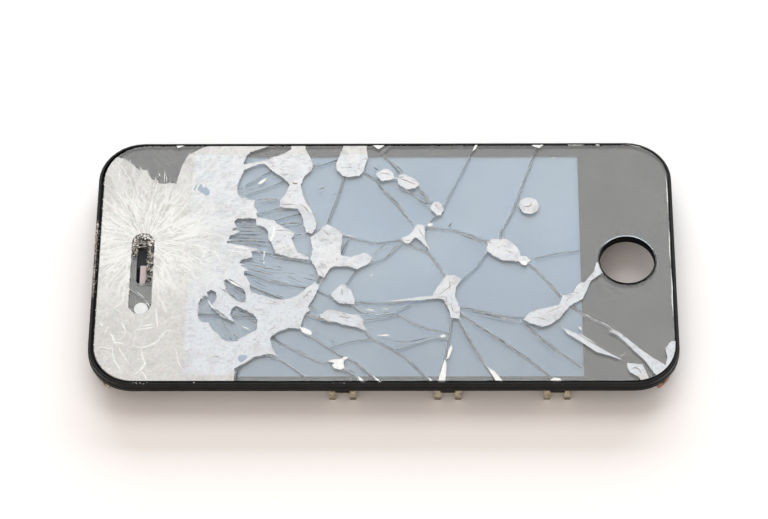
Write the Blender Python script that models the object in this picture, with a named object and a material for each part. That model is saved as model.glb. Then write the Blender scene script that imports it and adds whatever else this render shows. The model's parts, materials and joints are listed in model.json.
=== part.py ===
"""Front screen assembly of a phone, with its cover glass shattered.

It lies face up on the tips of its steel clips. Sizes are in millimetres and loft()
turns them to metres. +X runs to the home button end, +Y to the far long edge, +Z up.
The origin is on the ground, under the middle of the frame.
"""

import math

import bmesh
import bpy
from mathutils import Vector
from mathutils.bvhtree import BVHTree

MM = 0.001

# Moulded frame
FRAME_LENGTH = 112.3
FRAME_WIDTH = 55.6
CORNER_RADIUS = 8.8
CLIP_DROP = 4.03
RIM_WALL = 1.85
LEDGE_THICKNESS = 1.27
LIP_WIDTH = 0.65
LIP_BELOW_GLASS = 0.1
FOOT_BEVEL = 0.15
BAND_HEIGHT = 0.97
BAND_STEP = 0.12
LIP_BEVEL = 0.2

# Cover glass and its black print
GLASS_THICKNESS = 1.0
GLASS_CLEARANCE = 0.12
EARPIECE_END_GAP = 0.45
GLASS_CHAMFER = 0.15
PRINT_THICKNESS = 0.1
LAMINATION_GAP = 0.05
WINDOW_MARGIN = 0.4
WINDOW_EARPIECE_MARGIN = 1.7
WINDOW_HOME_MARGIN = 1.95
WINDOW_SHIFT = -0.4
WINDOW_RADIUS = 0.3

# Holes through the glass
HOME_DIAMETER = 10.65
HOME_FROM_END = 9.35
HOME_CHAMFER = 0.375
SLOT_WIDTH = 2.15
SLOT_LENGTH = 10.6
SLOT_FROM_END = 9.55
CAMERA_DIAMETER = 2.6
CAMERA_FROM_SLOT = 10.7
CAMERA_SHIFT = 0.2

# Breakage
CRACK_GAP = 0.1
CRACK_LEAN = 0.45
CRACK_FLOOR = 0.25
CRUSH_DEPTH = 0.35
CRUSH_GAP = 0.05

# Earpiece
GASKET_WIDTH = 4.4
GASKET_LENGTH = 18.5
GASKET_SHIFT = -2.85
GASKET_OPENING = 1.35
GASKET_OPENING_SHIFT = 0.25
MESH_THICKNESS = 0.1
MESH_CLEARANCE = 0.08
MESH_TORN_LENGTH = 4.4
MESH_TOP_GAP = 2.0

# Display and backlight, from the glass down
HOME_TO_DISPLAY = 1.675
GASKET_TO_DISPLAY = 1.4
DRIVER_LEDGE = 3.6
TOUCH_LEDGE = 2.0
DISPLAY_SHIFT = -0.15
BAY_CLEARANCE = 0.25
TOUCH_THICKNESS = 0.2
POLARIZER_THICKNESS = 0.15
CELL_GLASS_THICKNESS = 0.3
CELL_CLEARANCE = 0.1
CELL_RADIUS = 0.3
DIFFUSER_THICKNESS = 0.1
LIGHT_GUIDE_THICKNESS = 0.5
REFLECTOR_THICKNESS = 0.08
PAN_WALL = 0.15
BACKLIGHT_RIB = 0.45
LED_WIDTH = 0.9
FIT = 0.1

# Driver chip and flexible circuits
CHIP_LENGTH = 20.0
CHIP_WIDTH = 1.2
CHIP_HEIGHT = 0.35
FLEX_THICKNESS = 0.12
FLEX_BEND = 0.5
DISPLAY_FLEX_WIDTH = 14.0
DISPLAY_FLEX_TAIL = 22.0
TOUCH_FLEX_WIDTH = 6.0
TOUCH_FLEX_TAIL = 14.0
TOUCH_FLEX_FROM_SIDE = 7.7
CONNECTOR_LENGTH = 3.0
CONNECTOR_HEIGHT = 0.8
CONNECTOR_FROM_END = 1.0
CONNECTOR_SIDE_MARGIN = 1.0

# Steel clips
CLIP_SHEET = 0.35
CLIP_INSET = 0.5
CLIP_FIT = 0.06
SLOT_ROOF = 0.3
FORK_WIDTH = 5.1
FORK_BRIDGE = 1.6
PRONG_WIDTH = 1.25
PRONG_TIP_RADIUS = 0.3
FORK_PLACES = {"left": -7.7, "middle": 12.2, "right": 32.9}
BUMP_WIDTH = 2.85
BUMP_HEIGHT = 0.7
BUMP_INSET = 0.1
EYELET_WIDTH = 3.1
EYELET_DROP = 2.85
EYELET_HOLE = 1.6
EYELET_INSET = 0.7
EYELET_TIP_RADIUS = 0.9

# Facets of round stretches
CORNER_STEPS = 9
HOLE_STEPS = 44
END_STEPS = 8
SMALL_STEPS = 2
SPOT_STEPS = 20
MITRE_LIMIT = 2.5
OVERRUN = 0.4

# The break pattern below was laid out on a glass of this size
PATTERN_LENGTH = 110.31
PATTERN_WIDTH = 54.06
PATTERN_MIDDLE = 0.225
OUTSIDE = 45.0

# Levels
rim_bottom = CLIP_DROP
ledge_top = rim_bottom + LEDGE_THICKNESS
print_bottom = ledge_top + LAMINATION_GAP
print_top = print_bottom + PRINT_THICKNESS
glass_bottom = print_top + LAMINATION_GAP
glass_top = glass_bottom + GLASS_THICKNESS
lip_top = glass_top - LIP_BELOW_GLASS

# Plan
glass_length = FRAME_LENGTH - 2 * (LIP_WIDTH + GLASS_CLEARANCE) - EARPIECE_END_GAP
glass_width = FRAME_WIDTH - 2 * (LIP_WIDTH + GLASS_CLEARANCE)
glass_radius = CORNER_RADIUS - LIP_WIDTH - GLASS_CLEARANCE
glass_middle = (EARPIECE_END_GAP / 2, 0)
home_centre = (FRAME_LENGTH / 2 - HOME_FROM_END, 0)
slot_centre = (SLOT_FROM_END - FRAME_LENGTH / 2, 0)
camera_centre = (slot_centre[0] + CAMERA_SHIFT, -CAMERA_FROM_SLOT)
gasket_centre = (slot_centre[0], GASKET_SHIFT)
bay_width = FRAME_WIDTH - 2 * RIM_WALL
display_left = slot_centre[0] + GASKET_WIDTH / 2 + GASKET_TO_DISPLAY
display_right = home_centre[0] - HOME_DIAMETER / 2 - HOME_TO_DISPLAY
backlight_left = display_left + DRIVER_LEDGE
pan_width = bay_width - 2 * BAY_CLEARANCE
cell_width = pan_width - 2 * CELL_CLEARANCE
touch_flex_middle = DISPLAY_SHIFT - cell_width / 2 + TOUCH_FLEX_FROM_SIDE
ring_width = pan_width - 2 * (PAN_WALL + FIT)
window_width = cell_width - 2 * WINDOW_MARGIN
window_left = backlight_left + WINDOW_EARPIECE_MARGIN
window_right = display_right - WINDOW_HOME_MARGIN

# Cracks that go right through the glass and part it into shards, as seen on its top
THROUGH_CRACKS = {
    "left divider": [
        (-17, OUTSIDE), (-17.2, 27), (-17.6, 16), (-15.5, 11.5), (-13.5, 6), (-12.5, 0),
        (-12.3, -4), (-13, -6.5), (-16, -10), (-20, -14), (-24, -18.5), (-26.5, -22.5),
        (-28, -27.5), (-33, -OUTSIDE),
    ],
    "below the earpiece": [
        (-90, -2), (-55, -5), (-48.9, -6.4), (-47.7, -7.2), (-45.6, -9), (-44.4, -10),
        (-40, -11.5), (-30, -12.5), (-19, -13),
    ],
    "far arc": [
        (-17.4, 22), (-14.3, 22), (-12.5, 22.3), (-9.4, 23.6), (-7.5, 21.8), (-4.2, 20.8),
        (-3, 19.9), (-1.2, 18.6), (1.5, 19.4), (3.2, 19.2), (4.4, 18.4), (6.4, 17.4),
        (8, 15.5), (9.3, 13.6), (10.5, 12), (10.2, 10.4), (8.2, 7.7), (9.5, 7.5),
        (13.5, 7), (17, 5.8), (19.8, 4.4), (21, 3), (23.5, 2.2), (26.6, 0), (28.2, -0.8),
        (29.5, -2.2), (32.5, -6), (34, -8), (35, -9.2), (37.5, -8), (39, -5),
        (40.5, -3), home_centre,
    ],
    "middle arc": [
        (-12.9, 2.4), (-10.5, 4), (-8, 5.9), (-5, 4.9), (-2, 4.1), (-0.4, 4.1),
        (3.2, 4.8), (5, 3.6), (8.6, 2), (10, 0), (11.8, -3.4), (13, -7), (13.8, -10.5),
        (16, -10.8), (20, -11.8), (24, -12.8), (27.5, -13), (32, -11.5), (35, -9.2),
    ],
    "near arc": [
        (-13, -6.5), (-11.4, -7.5), (-10.2, -8), (-7.8, -8.8), (-5.4, -9.3), (-2, -9.7),
        (2, -9.6), (6, -8.9), (9, -8.1), (13, -7),
    ],
    "near sweep": [
        (-17, -11), (-13.8, -12.4), (-12.2, -13), (-9.2, -13.7), (-5, -14.2),
        (-3.3, -15.8), (-2.1, -17.5), (1.6, -19.8), (4.2, -21.6), (6.4, -24), (9, -27),
        (9.8, -28.5), (9.9, -OUTSIDE),
    ],
    "near edge left": [
        (-22, -16.2), (-19, -18.8), (-16, -20.5), (-12.8, -22.3), (-11, -22.9),
        (-9.4, -23.2), (-8, -24.4), (-6.4, -25), (-5, -26), (-4.2, -27.4), (0, -OUTSIDE),
    ],
    "near edge middle": [
        (13.8, -10.5), (13.2, -13.4), (12.6, -18), (11.8, -22), (11.3, -24), (11, -27.6),
        (10.6, -OUTSIDE),
    ],
    "near edge right": [
        (14, -10.6), (15.2, -12.4), (19, -15.2), (25, -20), (29, -23.5), (31.8, -26),
        (50, -OUTSIDE),
    ],
    "centre left": [
        (-7.5, 21.8), (-7.8, 19.6), (-8.9, 15), (-10.4, 10.2), (-10.9, 8.4), (-10.5, 4),
    ],
    "centre link": [(8.2, 7.7), (7.8, 6), (7.8, 5), (8.3, 3.4), (8.6, 2)],
    "far edge right": [
        (22.4, 2.6), (22.9, 7), (25, 11.2), (27.3, 18.2), (30, 26.2), (33, OUTSIDE),
    ],
    "centre right": [
        (21, 3), (19, 0.4), (18, -1.4), (16.6, -2.8), (15, -4.4), (13, -7),
    ],
    "home corner": [
        (35, -9.2), (38.2, -12.2), (42.8, -14.9), (50, -22.5), (53, -26), (68, -OUTSIDE),
    ],
}

# Cracks that stop above the underside of the glass
PART_CRACKS = [
    [(11.6, 12.6), (13.6, 17), (15.8, 21.8), (17.9, 27.3), (24, OUTSIDE)],
    [(-1.3, 18.5), (-0.3, 16.6), (2.4, 13.2), (5, 9.4), (5.8, 8.4)],
    [(2.8, 17.3), (5.4, 15.8), (9, 12.4)],
    [(-0.2, 24.6), (1.6, 22.6), (3.4, 20.1)],
    [(-8.1, 1.4), (-7.1, 4.4), (-6.6, 5.3)],
    [(-2.6, -0.5), (0.4, 0.9), (3.6, 4.2)],
    [(29.2, 0.5), (33, 1.5), (37.8, 2.2)],
    [(14.4, -13.2), (16.2, -17), (19.6, -24), (22.5, -27.5), (35, -OUTSIDE)],
    [(26.5, -14), (30, -17.4), (37.6, -24)],
    [(-6.2, -10), (-4.2, -11.6), (-1.5, -12.2), (2, -11.9), (5.4, -9.8)],
    [(-3.8, -13.4), (0, -12.9), (3, -12.2), (5, -13.8), (9, -15.6), (12.8, -16.4)],
    [(-9.6, -19.4), (-6, -18.2), (-2.2, -17.7)],
    [
        (-15.6, -15.6), (-13, -17.6), (-8.2, -21.2), (-5.4, -22.6), (-1.8, -26),
        (-0.6, -27.4), (10, -OUTSIDE),
    ],
    [(-21.8, -21), (-19, -22.4), (-17.4, -23.6), (-14.6, -26)],
    [(2.4, -20.2), (6, -18.8), (10, -17.4), (12.6, -17.8)],
    [(-26.4, -2.8), (-22, -4.6), (-18, -5.6), (-12.9, -6.4)],
    [(-25.6, -5.6), (-22, -7.4), (-18.6, -9)],
    [(-24, 2), (-19, 0.8), (-12.6, -0.5)],
    [(-27, 17.6), (-23.8, 20), (-22.2, 20.9)],
    [(-27, 15.4), (-23, 17), (-19.4, 18.7)],
    [(-25.2, 10.7), (-21, 12.1), (-19, 12.2)],
    [(-21.2, 9.4), (-17.4, 10.6), (-16, 10.9)],
    [(-7.2, -5.4), (-5.6, -2.9), (-5, -2)],
]

# Crushed white patches in the top of the glass
LEFT_FIELD = [
    (-90, OUTSIDE), (-21.9, OUTSIDE), (-22, 27.2), (-25, 26.1), (-26.4, 25.6),
    (-27.1, 24.8), (-27.8, 22.6), (-25.5, 23), (-23.3, 23.6), (-22, 24.2), (-20.5, 24.8),
    (-19.2, 25.5), (-18.5, 26.2), (-18.6, OUTSIDE), (-15.8, OUTSIDE), (-15.6, 26.2),
    (-14.6, 24), (-14.1, 22), (-14.5, 21), (-15.8, 19.6), (-16.4, 17.5), (-15.9, 14.8),
    (-14.8, 12.8), (-13.8, 10.6), (-13.1, 8.6), (-13.2, 7.6), (-13.9, 6.3), (-15.1, 6.5),
    (-15.7, 8.5), (-16, 10.5), (-17, 12.2), (-19.5, 12.2), (-20.3, 12.5), (-20.4, 14.1),
    (-19.3, 15.5), (-18.6, 17.5), (-18.8, 18.2), (-20.3, 19.6), (-22, 21), (-23.6, 22.7),
    (-25, 22.5), (-27.6, 21.2), (-28.7, 18), (-28.8, 16), (-28.3, 15), (-27.5, 14.4),
    (-25.2, 14.1), (-25.4, 12.8), (-24.7, 11.3), (-25, 10.8), (-24.5, 10), (-21.3, 9.2),
    (-20.6, 8.4), (-17.3, 6.3), (-17.9, 5), (-16.8, 2), (-14.5, 0.8), (-14.6, 0.2),
    (-18, 0.6), (-21, 1.8), (-21.8, 4), (-22.4, 5), (-22.6, 7), (-23.3, 7.8),
    (-24.9, 8.3), (-25, 9.8), (-28.5, 9.8), (-29.1, 9), (-28.6, 7.8), (-29.4, 7.5),
    (-29.4, 6.9), (-28, 7.1), (-29, 6.1), (-29.8, 5.8), (-30.5, 4.1), (-28, 3.7),
    (-25, 2.8), (-23.6, 2.4), (-25.6, 2.2), (-25.4, 0.8), (-27.8, 0.2), (-27.7, -0.8),
    (-26.8, -1.6), (-26.9, -3), (-25.8, -5), (-25.4, -7.1), (-22.6, -8.2), (-19.4, -8.9),
    (-18, -8.6), (-16.6, -8), (-14, -5.5), (-13.2, -5.1), (-12.4, -5.6), (-13, -7.6),
    (-14.4, -10.4), (-14, -11.4), (-15, -12), (-15.9, -15.4), (-18, -15.2), (-20, -16.1),
    (-21.5, -17.3), (-21.2, -19.4), (-20.2, -21.3), (-21.6, -21), (-24.4, -21.6),
    (-26, -22.9), (-28, -24.2), (-28, -OUTSIDE), (-90, -OUTSIDE),
]
CLEAR_FAR_CORNER = [
    (-60, OUTSIDE), (-60, 29.5), (-53, 24.6), (-50.8, 23.6), (-48.2, 21.3), (-46.8, 21.2),
    (-45.7, 19.2), (-44.5, 18), (-40.8, 18.1), (-39.8, 22.3), (-38.8, 24.6), (-37, 26),
    (-34.2, 27.3), (-33.8, OUTSIDE),
]
CLEAR_STRIPES = [
    (-30.7, -4.5), (-29.6, -4.1), (-27.2, -6), (-26.5, -7.4), (-26.3, -9.5),
    (-27.5, -9.4), (-29, -8.4), (-30.2, -7),
]
CLEAR_HOOK = [
    (-33.2, -6.6), (-34.6, -8), (-35.4, -9.5), (-35.5, -12), (-35, -13.4), (-34.2, -14.1),
    (-33.3, -13.8), (-32.9, -15), (-31, -17.2), (-30, -18), (-28.8, -18.3), (-27.8, -18.1),
    (-26, -16.8), (-24.2, -15.6), (-23.9, -13.6), (-24.8, -12.1), (-28.2, -10.2),
    (-29, -11), (-29.2, -12.3), (-28.3, -13.9), (-30.6, -12.8), (-32.9, -10.5),
    (-32.2, -9), (-31.9, -8), (-32.3, -6.9),
]
CRUSHED_PATCHES = {
    "crushed_far_patch": [
        (-8, OUTSIDE), (-8.3, 26.2), (-9.5, 23), (-9.4, 21.2), (-8.2, 19.8), (-7.2, 19.5),
        (-5, 19.9), (-4.3, 20.6), (-3.3, 24), (-3.6, 26.2), (-3.5, OUTSIDE),
    ],
    "crushed_centre_left": [
        (-10.9, 8.4), (-9.3, 7.4), (-8, 6.1), (-8.1, 5), (-8.4, 2), (-8.2, 1.2),
        (-6.4, 0.8), (-4.8, 1.4), (-4, 1.8), (-3.2, 1.7), (-2.2, 0.6), (-2.8, -0.6),
        (-5.2, -2), (-6.6, -1.3), (-9.6, -1.3), (-10.4, -1.8), (-11.4, -3.9),
        (-12.6, -3.4), (-13.2, -1.4), (-14.2, 0.2), (-13.8, 2.6), (-14.3, 5.4),
        (-13.2, 6.2), (-12.4, 7), (-11.8, 7.9),
    ],
    "crushed_centre_near": [
        (-8.3, -5.5), (-7.6, -5.4), (-6.1, -7), (-5.5, -9.2), (-5.5, -10), (-8.6, -9.6),
        (-9.9, -8.2), (-10, -7.3),
    ],
    "crushed_near_wedge": [
        (-12.3, -12.4), (-10.8, -11.3), (-9.8, -11.2), (-6, -12.2), (-4.8, -12.3),
        (-3.8, -13.6), (-3.9, -14.4), (-3.2, -15.9), (-5.2, -15), (-7.8, -14.5),
        (-8.9, -13.9), (-11.6, -13.4),
    ],
    "crushed_far_pair": [
        (-1.6, 20.4), (-0.2, 21.5), (0.8, 21.3), (1.8, 20), (1.9, 19.4), (2.6, 19.3),
        (3, 20), (4, 20), (6, 19.2), (6.8, 17.6), (6, 16.9), (4.4, 16.5), (2.8, 17.6),
        (2.4, 19), (1.7, 19.1), (1.2, 18.8), (-0.6, 18.6), (-1.5, 19.6),
    ],
    "crushed_far_bead": [
        (9.6, 13.5), (10.3, 13.7), (11, 13.3), (11.6, 11.8), (11, 10.5), (10.2, 10.5),
        (9.1, 11.8), (9, 12.6),
    ],
    "crushed_centre_bead": [
        (6.4, 8.4), (7.7, 8.2), (7.9, 6.2), (7.8, 5.2), (8.8, 2.5), (6.8, 4.8), (6, 5.4),
        (5, 4), (4.2, 3.9), (3.2, 5), (5, 6),
    ],
    "crushed_right_patch": [
        (20, 4.3), (21, 4.9), (23.6, 4.9), (25.3, 3.6), (26.2, 1.9), (26.3, 0.9),
        (27.3, 1), (28.4, -0.1), (27, -1), (26.4, -0.4), (25.2, -0.1), (22.8, 0),
        (21, 1.2), (19.8, 2.2),
    ],
    "crushed_centre_right": [
        (12, -3.5), (13.6, -3.3), (14.9, -4.4), (13.9, -6), (13.6, -8), (14.6, -11),
        (14.5, -13.3), (12.9, -13), (12.4, -11), (11.5, -9), (10.2, -8.6), (6.4, -9.1),
        (1.4, -9.4), (1.4, -9.1), (6, -8.4), (9.3, -8), (9.5, -7.4), (10.6, -5.4),
    ],
    "crushed_home_band": [
        (26.6, -13.3), (28, -11.7), (29.2, -11.2), (33.4, -10.2), (34.2, -7.9),
        (36, -7.9), (36.6, -6.4), (37.8, -5), (38.3, -5.2), (40.2, -2.8), (40.9, -0.6),
        (45, 0), (44, -2), (41.8, -3), (39.8, -4.6), (38, -8.8), (35.6, -10.2),
        (33.6, -13), (31.6, -14.6), (30, -15), (27.8, -14.2),
    ],
    "crushed_home_streak": [
        (33.8, -15.1), (36, -16.2), (38.6, -18), (42.4, -20.7), (45, -22.3),
        (42.6, -21.4), (40.2, -20.6), (38, -18.8), (35, -16.6),
    ],
    "crushed_home_corner": [
        (42.8, -16.1), (43.6, -15.7), (44.6, -16.2), (49, -20.4), (52, -22.8),
        (53.2, -23.6), (53.6, -21.8), (53.3, -19.8), (54.6, -18.2), (90, -18),
        (90, -OUTSIDE), (54, -OUTSIDE), (51.6, -26.2), (49.2, -22.4), (47, -19.8),
        (44.4, -16.9),
    ],
    "crushed_near_corner": [
        (46, -23.1), (48.8, -23.4), (49.8, -25.8), (50.3, -27.1), (51, -OUTSIDE),
        (48, -OUTSIDE), (48.4, -27.1), (48.2, -26.2), (46.6, -25.2), (46.1, -24.2),
    ],
}
DOT_CENTRE = (28.15, 12.7)
DOT_DIAMETER = 3.9

# Shallow chips, with nothing left in them
CHIPS = [
    [
        (-10.6, -22.6), (-7.2, -22.1), (-7.2, -24.1), (-7.9, -24.5), (-9.6, -23.8),
    ],
    [
        (11.6, -22.3), (10.9, -25), (10.4, -27.3), (10.2, -OUTSIDE), (12, -OUTSIDE),
        (11.7, -27.3), (11.9, -22.6),
    ],
    [
        (19.5, -23.6), (21.2, -25.2), (22.7, -27.2), (23, -OUTSIDE), (21, -OUTSIDE),
        (21.3, -27.3), (20, -24.8),
    ],
    [
        (31.4, -27.3), (31.6, -26.6), (33.2, -26.4), (33.8, -27.2), (34, -OUTSIDE),
        (31, -OUTSIDE),
    ],
]

# A point on each shard
SHARD_PLACES = {
    "shard_earpiece": (-40, 10),
    "shard_camera": (-40, -20),
    "shard_far_edge": (7, 23),
    "shard_home_button": (42, 15),
    "shard_far_left": (-12, 16),
    "shard_far_middle": (-2, 12),
    "shard_centre": (13, 3),
    "shard_centre_right": (22, -5),
    "shard_centre_left": (2, -3),
    "shard_near_middle": (4, -16),
    "shard_near_left": (-7, -17),
    "shard_near_corner": (-19, -20.5),
    "shard_near_right": (15.5, -21),
    "shard_near_home": (34, -16),
}

# Colour, roughness and metallic of each finish
FINISHES = {
    "black_plastic": ((0.012, 0.011, 0.013), 0.35, 0.0),
    "cover_glass": ((0.42, 0.46, 0.47), 0.05, 0.0),
    "crushed_glass": ((0.78, 0.79, 0.77), 0.6, 0.0),
    "black_print": ((0.02, 0.02, 0.022), 0.5, 0.0),
    "display": ((0.2, 0.27, 0.37), 0.4, 0.0),
    "clear_film": ((0.6, 0.62, 0.62), 0.2, 0.0),
    "white_film": ((0.8, 0.8, 0.8), 0.5, 0.0),
    "white_plastic": ((0.75, 0.75, 0.73), 0.4, 0.0),
    "steel": ((0.5, 0.48, 0.45), 0.35, 1.0),
    "copper_steel": ((0.55, 0.34, 0.22), 0.4, 1.0),
    "rubber": ((0.03, 0.03, 0.03), 0.8, 0.0),
    "woven_steel": ((0.08, 0.08, 0.08), 0.6, 0.6),
    "flex_film": ((0.35, 0.16, 0.05), 0.4, 0.0),
    "chip": ((0.03, 0.03, 0.035), 0.3, 0.0),
    "tan_plastic": ((0.5, 0.42, 0.28), 0.45, 0.0),
}


def rounded_rectangle(length, width, radius, centre=(0, 0), steps=CORNER_STEPS):
    """Counter-clockwise from the +X end, with four arcs."""
    points = []
    corners = ((1, 1, 0), (-1, 1, 90), (-1, -1, 180), (1, -1, 270))
    for side_x, side_y, start in corners:
        middle_x = centre[0] + side_x * (length / 2 - radius)
        middle_y = centre[1] + side_y * (width / 2 - radius)
        for step in range(steps + 1):
            angle = math.radians(start + 90 * step / steps)
            points.append(
                Vector((middle_x + radius * math.cos(angle), middle_y + radius * math.sin(angle)))
            )
    return points


def circle(diameter, centre, steps=HOLE_STEPS):
    angles = [2 * math.pi * step / steps for step in range(steps)]
    return [
        Vector((centre[0] + diameter / 2 * math.cos(a), centre[1] + diameter / 2 * math.sin(a)))
        for a in angles
    ]


def stadium(width, length, centre):
    """Two half circles joined by straight sides along Y."""
    points = []
    for side, start in ((1, 0), (-1, 180)):
        middle_y = centre[1] + side * (length - width) / 2
        for step in range(END_STEPS + 1):
            angle = math.radians(start + 180 * step / END_STEPS)
            points.append(
                Vector((centre[0] + width / 2 * math.cos(angle), middle_y + width / 2 * math.sin(angle)))
            )
    return points


def on_glass(points):
    """Points of the break pattern, stretched with the glass."""
    stretch_x = glass_length / PATTERN_LENGTH
    stretch_y = glass_width / PATTERN_WIDTH
    return [
        Vector((glass_middle[0] + (x - PATTERN_MIDDLE) * stretch_x, y * stretch_y))
        for x, y in points
    ]


def signed_area(outline):
    following = outline[1:] + outline[:1]
    return sum(a.x * b.y - b.x * a.y for a, b in zip(outline, following)) / 2


def mitre(before, here, after):
    """The sideways step to the right at a corner of a path, longer where it is sharp."""
    sides = []
    for a, b in ((before, here), (here, after)):
        along = (b - a).normalized()
        sides.append(Vector((along.y, -along.x)))
    step = (sides[0] + sides[1]).normalized()
    return step / max(step.dot(sides[1]), 1 / MITRE_LIMIT)


def grown(outline, distance):
    """The outline moved outwards, or inwards by a negative distance."""
    if signed_area(outline) < 0:
        outline = outline[::-1]
    count = len(outline)
    return [
        outline[i] + distance * mitre(outline[i - 1], outline[i], outline[(i + 1) % count])
        for i in range(count)
    ]


def widened(path, width):
    """A path turned to the outline of a strip of this width."""
    ends = [2 * path[0] - path[1], *path, 2 * path[-1] - path[-2]]
    steps = [width / 2 * mitre(*ends[i : i + 3]) for i in range(len(path))]
    right = [point + step for point, step in zip(path, steps)]
    left = [point - step for point, step in zip(path, steps)]
    return right + left[::-1]


def loft(name, rings, hollow=False, finish=None, across=False):
    """A solid through rings of (outline, level), closed by caps or, if hollow, by its first ring.

    Across, the outlines lie in XZ and the levels run along Y.
    """
    work = bmesh.new()
    loops = []
    for outline, level in rings:
        places = [(x, level, y) if across else (x, y, level) for x, y in outline]
        loops.append([work.verts.new(Vector(place) * MM) for place in places])
    pairs = list(zip(loops, loops[1:]))
    if hollow:
        pairs.append((loops[-1], loops[0]))
    else:
        work.faces.new(loops[0][::-1])
        work.faces.new(loops[-1])
    for lower, upper in pairs:
        for i in range(len(lower)):
            work.faces.new((lower[i - 1], lower[i], upper[i], upper[i - 1]))
    bmesh.ops.recalc_face_normals(work, faces=work.faces)
    return add_object(name, work, finish)


def add_object(name, work, finish):
    mesh = bpy.data.meshes.new(name)
    work.to_mesh(mesh)
    work.free()
    piece = bpy.data.objects.new(name, mesh)
    bpy.context.scene.collection.objects.link(piece)
    if finish:
        mesh.materials.append(material(finish, name))
    return piece


def material(finish, name):
    colour, roughness, metallic = FINISHES[finish]
    made = bpy.data.materials.new(f"{name}_{finish}")
    made.use_nodes = True
    shader = made.node_tree.nodes["Principled BSDF"]
    shader.inputs["Base Color"].default_value = (*colour, 1)
    shader.inputs["Roughness"].default_value = roughness
    shader.inputs["Metallic"].default_value = metallic
    return made


def combine(piece, operation, others, solver="EXACT"):
    """The piece joined with, cut by or kept inside the others, which are used up."""
    group = bpy.data.collections.new("operands")
    bpy.context.scene.collection.children.link(group)
    for other in others:
        group.objects.link(other)
        other.hide_render = True
        other.display_type = "WIRE"
    boolean = piece.modifiers.new(operation.title(), "BOOLEAN")
    boolean.operation = operation
    boolean.solver = solver
    boolean.operand_type = "COLLECTION"
    boolean.collection = group
    scene = bpy.context.evaluated_depsgraph_get()
    result = bpy.data.meshes.new_from_object(piece.evaluated_get(scene))
    piece.modifiers.clear()
    piece.data = result
    for other in others:
        bpy.data.objects.remove(other)
    bpy.data.collections.remove(group)
    return piece


def copy_of(piece, name):
    twin = bpy.data.objects.new(name, piece.data.copy())
    bpy.context.scene.collection.objects.link(twin)
    return twin


def block(name, outline, bottom, top, finish=None):
    return loft(name, [(outline, bottom), (outline, top)], finish=finish)


def hole_cutters(top=glass_top + OVERRUN, bottom=print_bottom - OVERRUN):
    """Cutters for the home button hole and the earpiece slot."""
    return [
        block("home hole", circle(HOME_DIAMETER, home_centre), bottom, top),
        block("earpiece slot", stadium(SLOT_WIDTH, SLOT_LENGTH, slot_centre), bottom, top),
    ]


def make_bezel_frame():
    """The moulding: a foot band, a lip round the glass and a ledge that carries it."""

    def ring(inset):
        return rounded_rectangle(
            FRAME_LENGTH - 2 * inset, FRAME_WIDTH - 2 * inset, CORNER_RADIUS - inset
        )

    band_top = rim_bottom + BAND_HEIGHT
    profile = [
        (FOOT_BEVEL, rim_bottom),
        (0, rim_bottom + FOOT_BEVEL),
        (0, band_top),
        (BAND_STEP, band_top + BAND_STEP),
        (BAND_STEP, lip_top - LIP_BEVEL),
        (BAND_STEP + LIP_BEVEL, lip_top),
        (LIP_WIDTH, lip_top),
        (LIP_WIDTH, ledge_top),
        (RIM_WALL, ledge_top),
        (RIM_WALL, rim_bottom),
    ]
    frame = loft(
        "bezel_frame",
        [(ring(inset), level) for inset, level in profile],
        hollow=True,
        finish="black_plastic",
    )
    bumps = []
    cutters = []
    for side in (-1, 1):
        outer = FRAME_WIDTH / 2
        for place in FORK_PLACES.values():
            middle_y = side * (outer - (BUMP_INSET + CLIP_INSET - CLIP_FIT) / 2)
            depth = CLIP_INSET - CLIP_FIT - BUMP_INSET
            bumps.append(
                block(
                    "bump",
                    rounded_rectangle(
                        BUMP_WIDTH, depth, depth / 4, (place, middle_y), SMALL_STEPS
                    ),
                    rim_bottom - BUMP_HEIGHT,
                    rim_bottom + BAND_HEIGHT / 2,
                )
            )
            cutters.append(fork_blank("fork seat", place, side, CLIP_FIT))
    combine(frame, "UNION", bumps)
    for side_x in (-1, 1):
        for side_y in (-1, 1):
            cutters.append(eyelet_blank("eyelet seat", side_x, side_y, CLIP_FIT))
    return combine(frame, "DIFFERENCE", cutters)


def fork_blank(name, place, side, spare=0.0):
    """The plain strip of a fork clip, or with spare room the seat for it."""
    middle_y = side * (FRAME_WIDTH / 2 - CLIP_INSET - CLIP_SHEET / 2)
    outline = [
        Vector((place + x * (FORK_WIDTH / 2 + spare), middle_y + y * (CLIP_SHEET / 2 + spare)))
        for x, y in ((1, 1), (-1, 1), (-1, -1), (1, -1))
    ]
    seat_top = ledge_top - SLOT_ROOF
    if spare:
        return block(name, outline, rim_bottom - OVERRUN, seat_top)
    return block(name, outline, 0, seat_top - CLIP_FIT, finish="steel")


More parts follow.
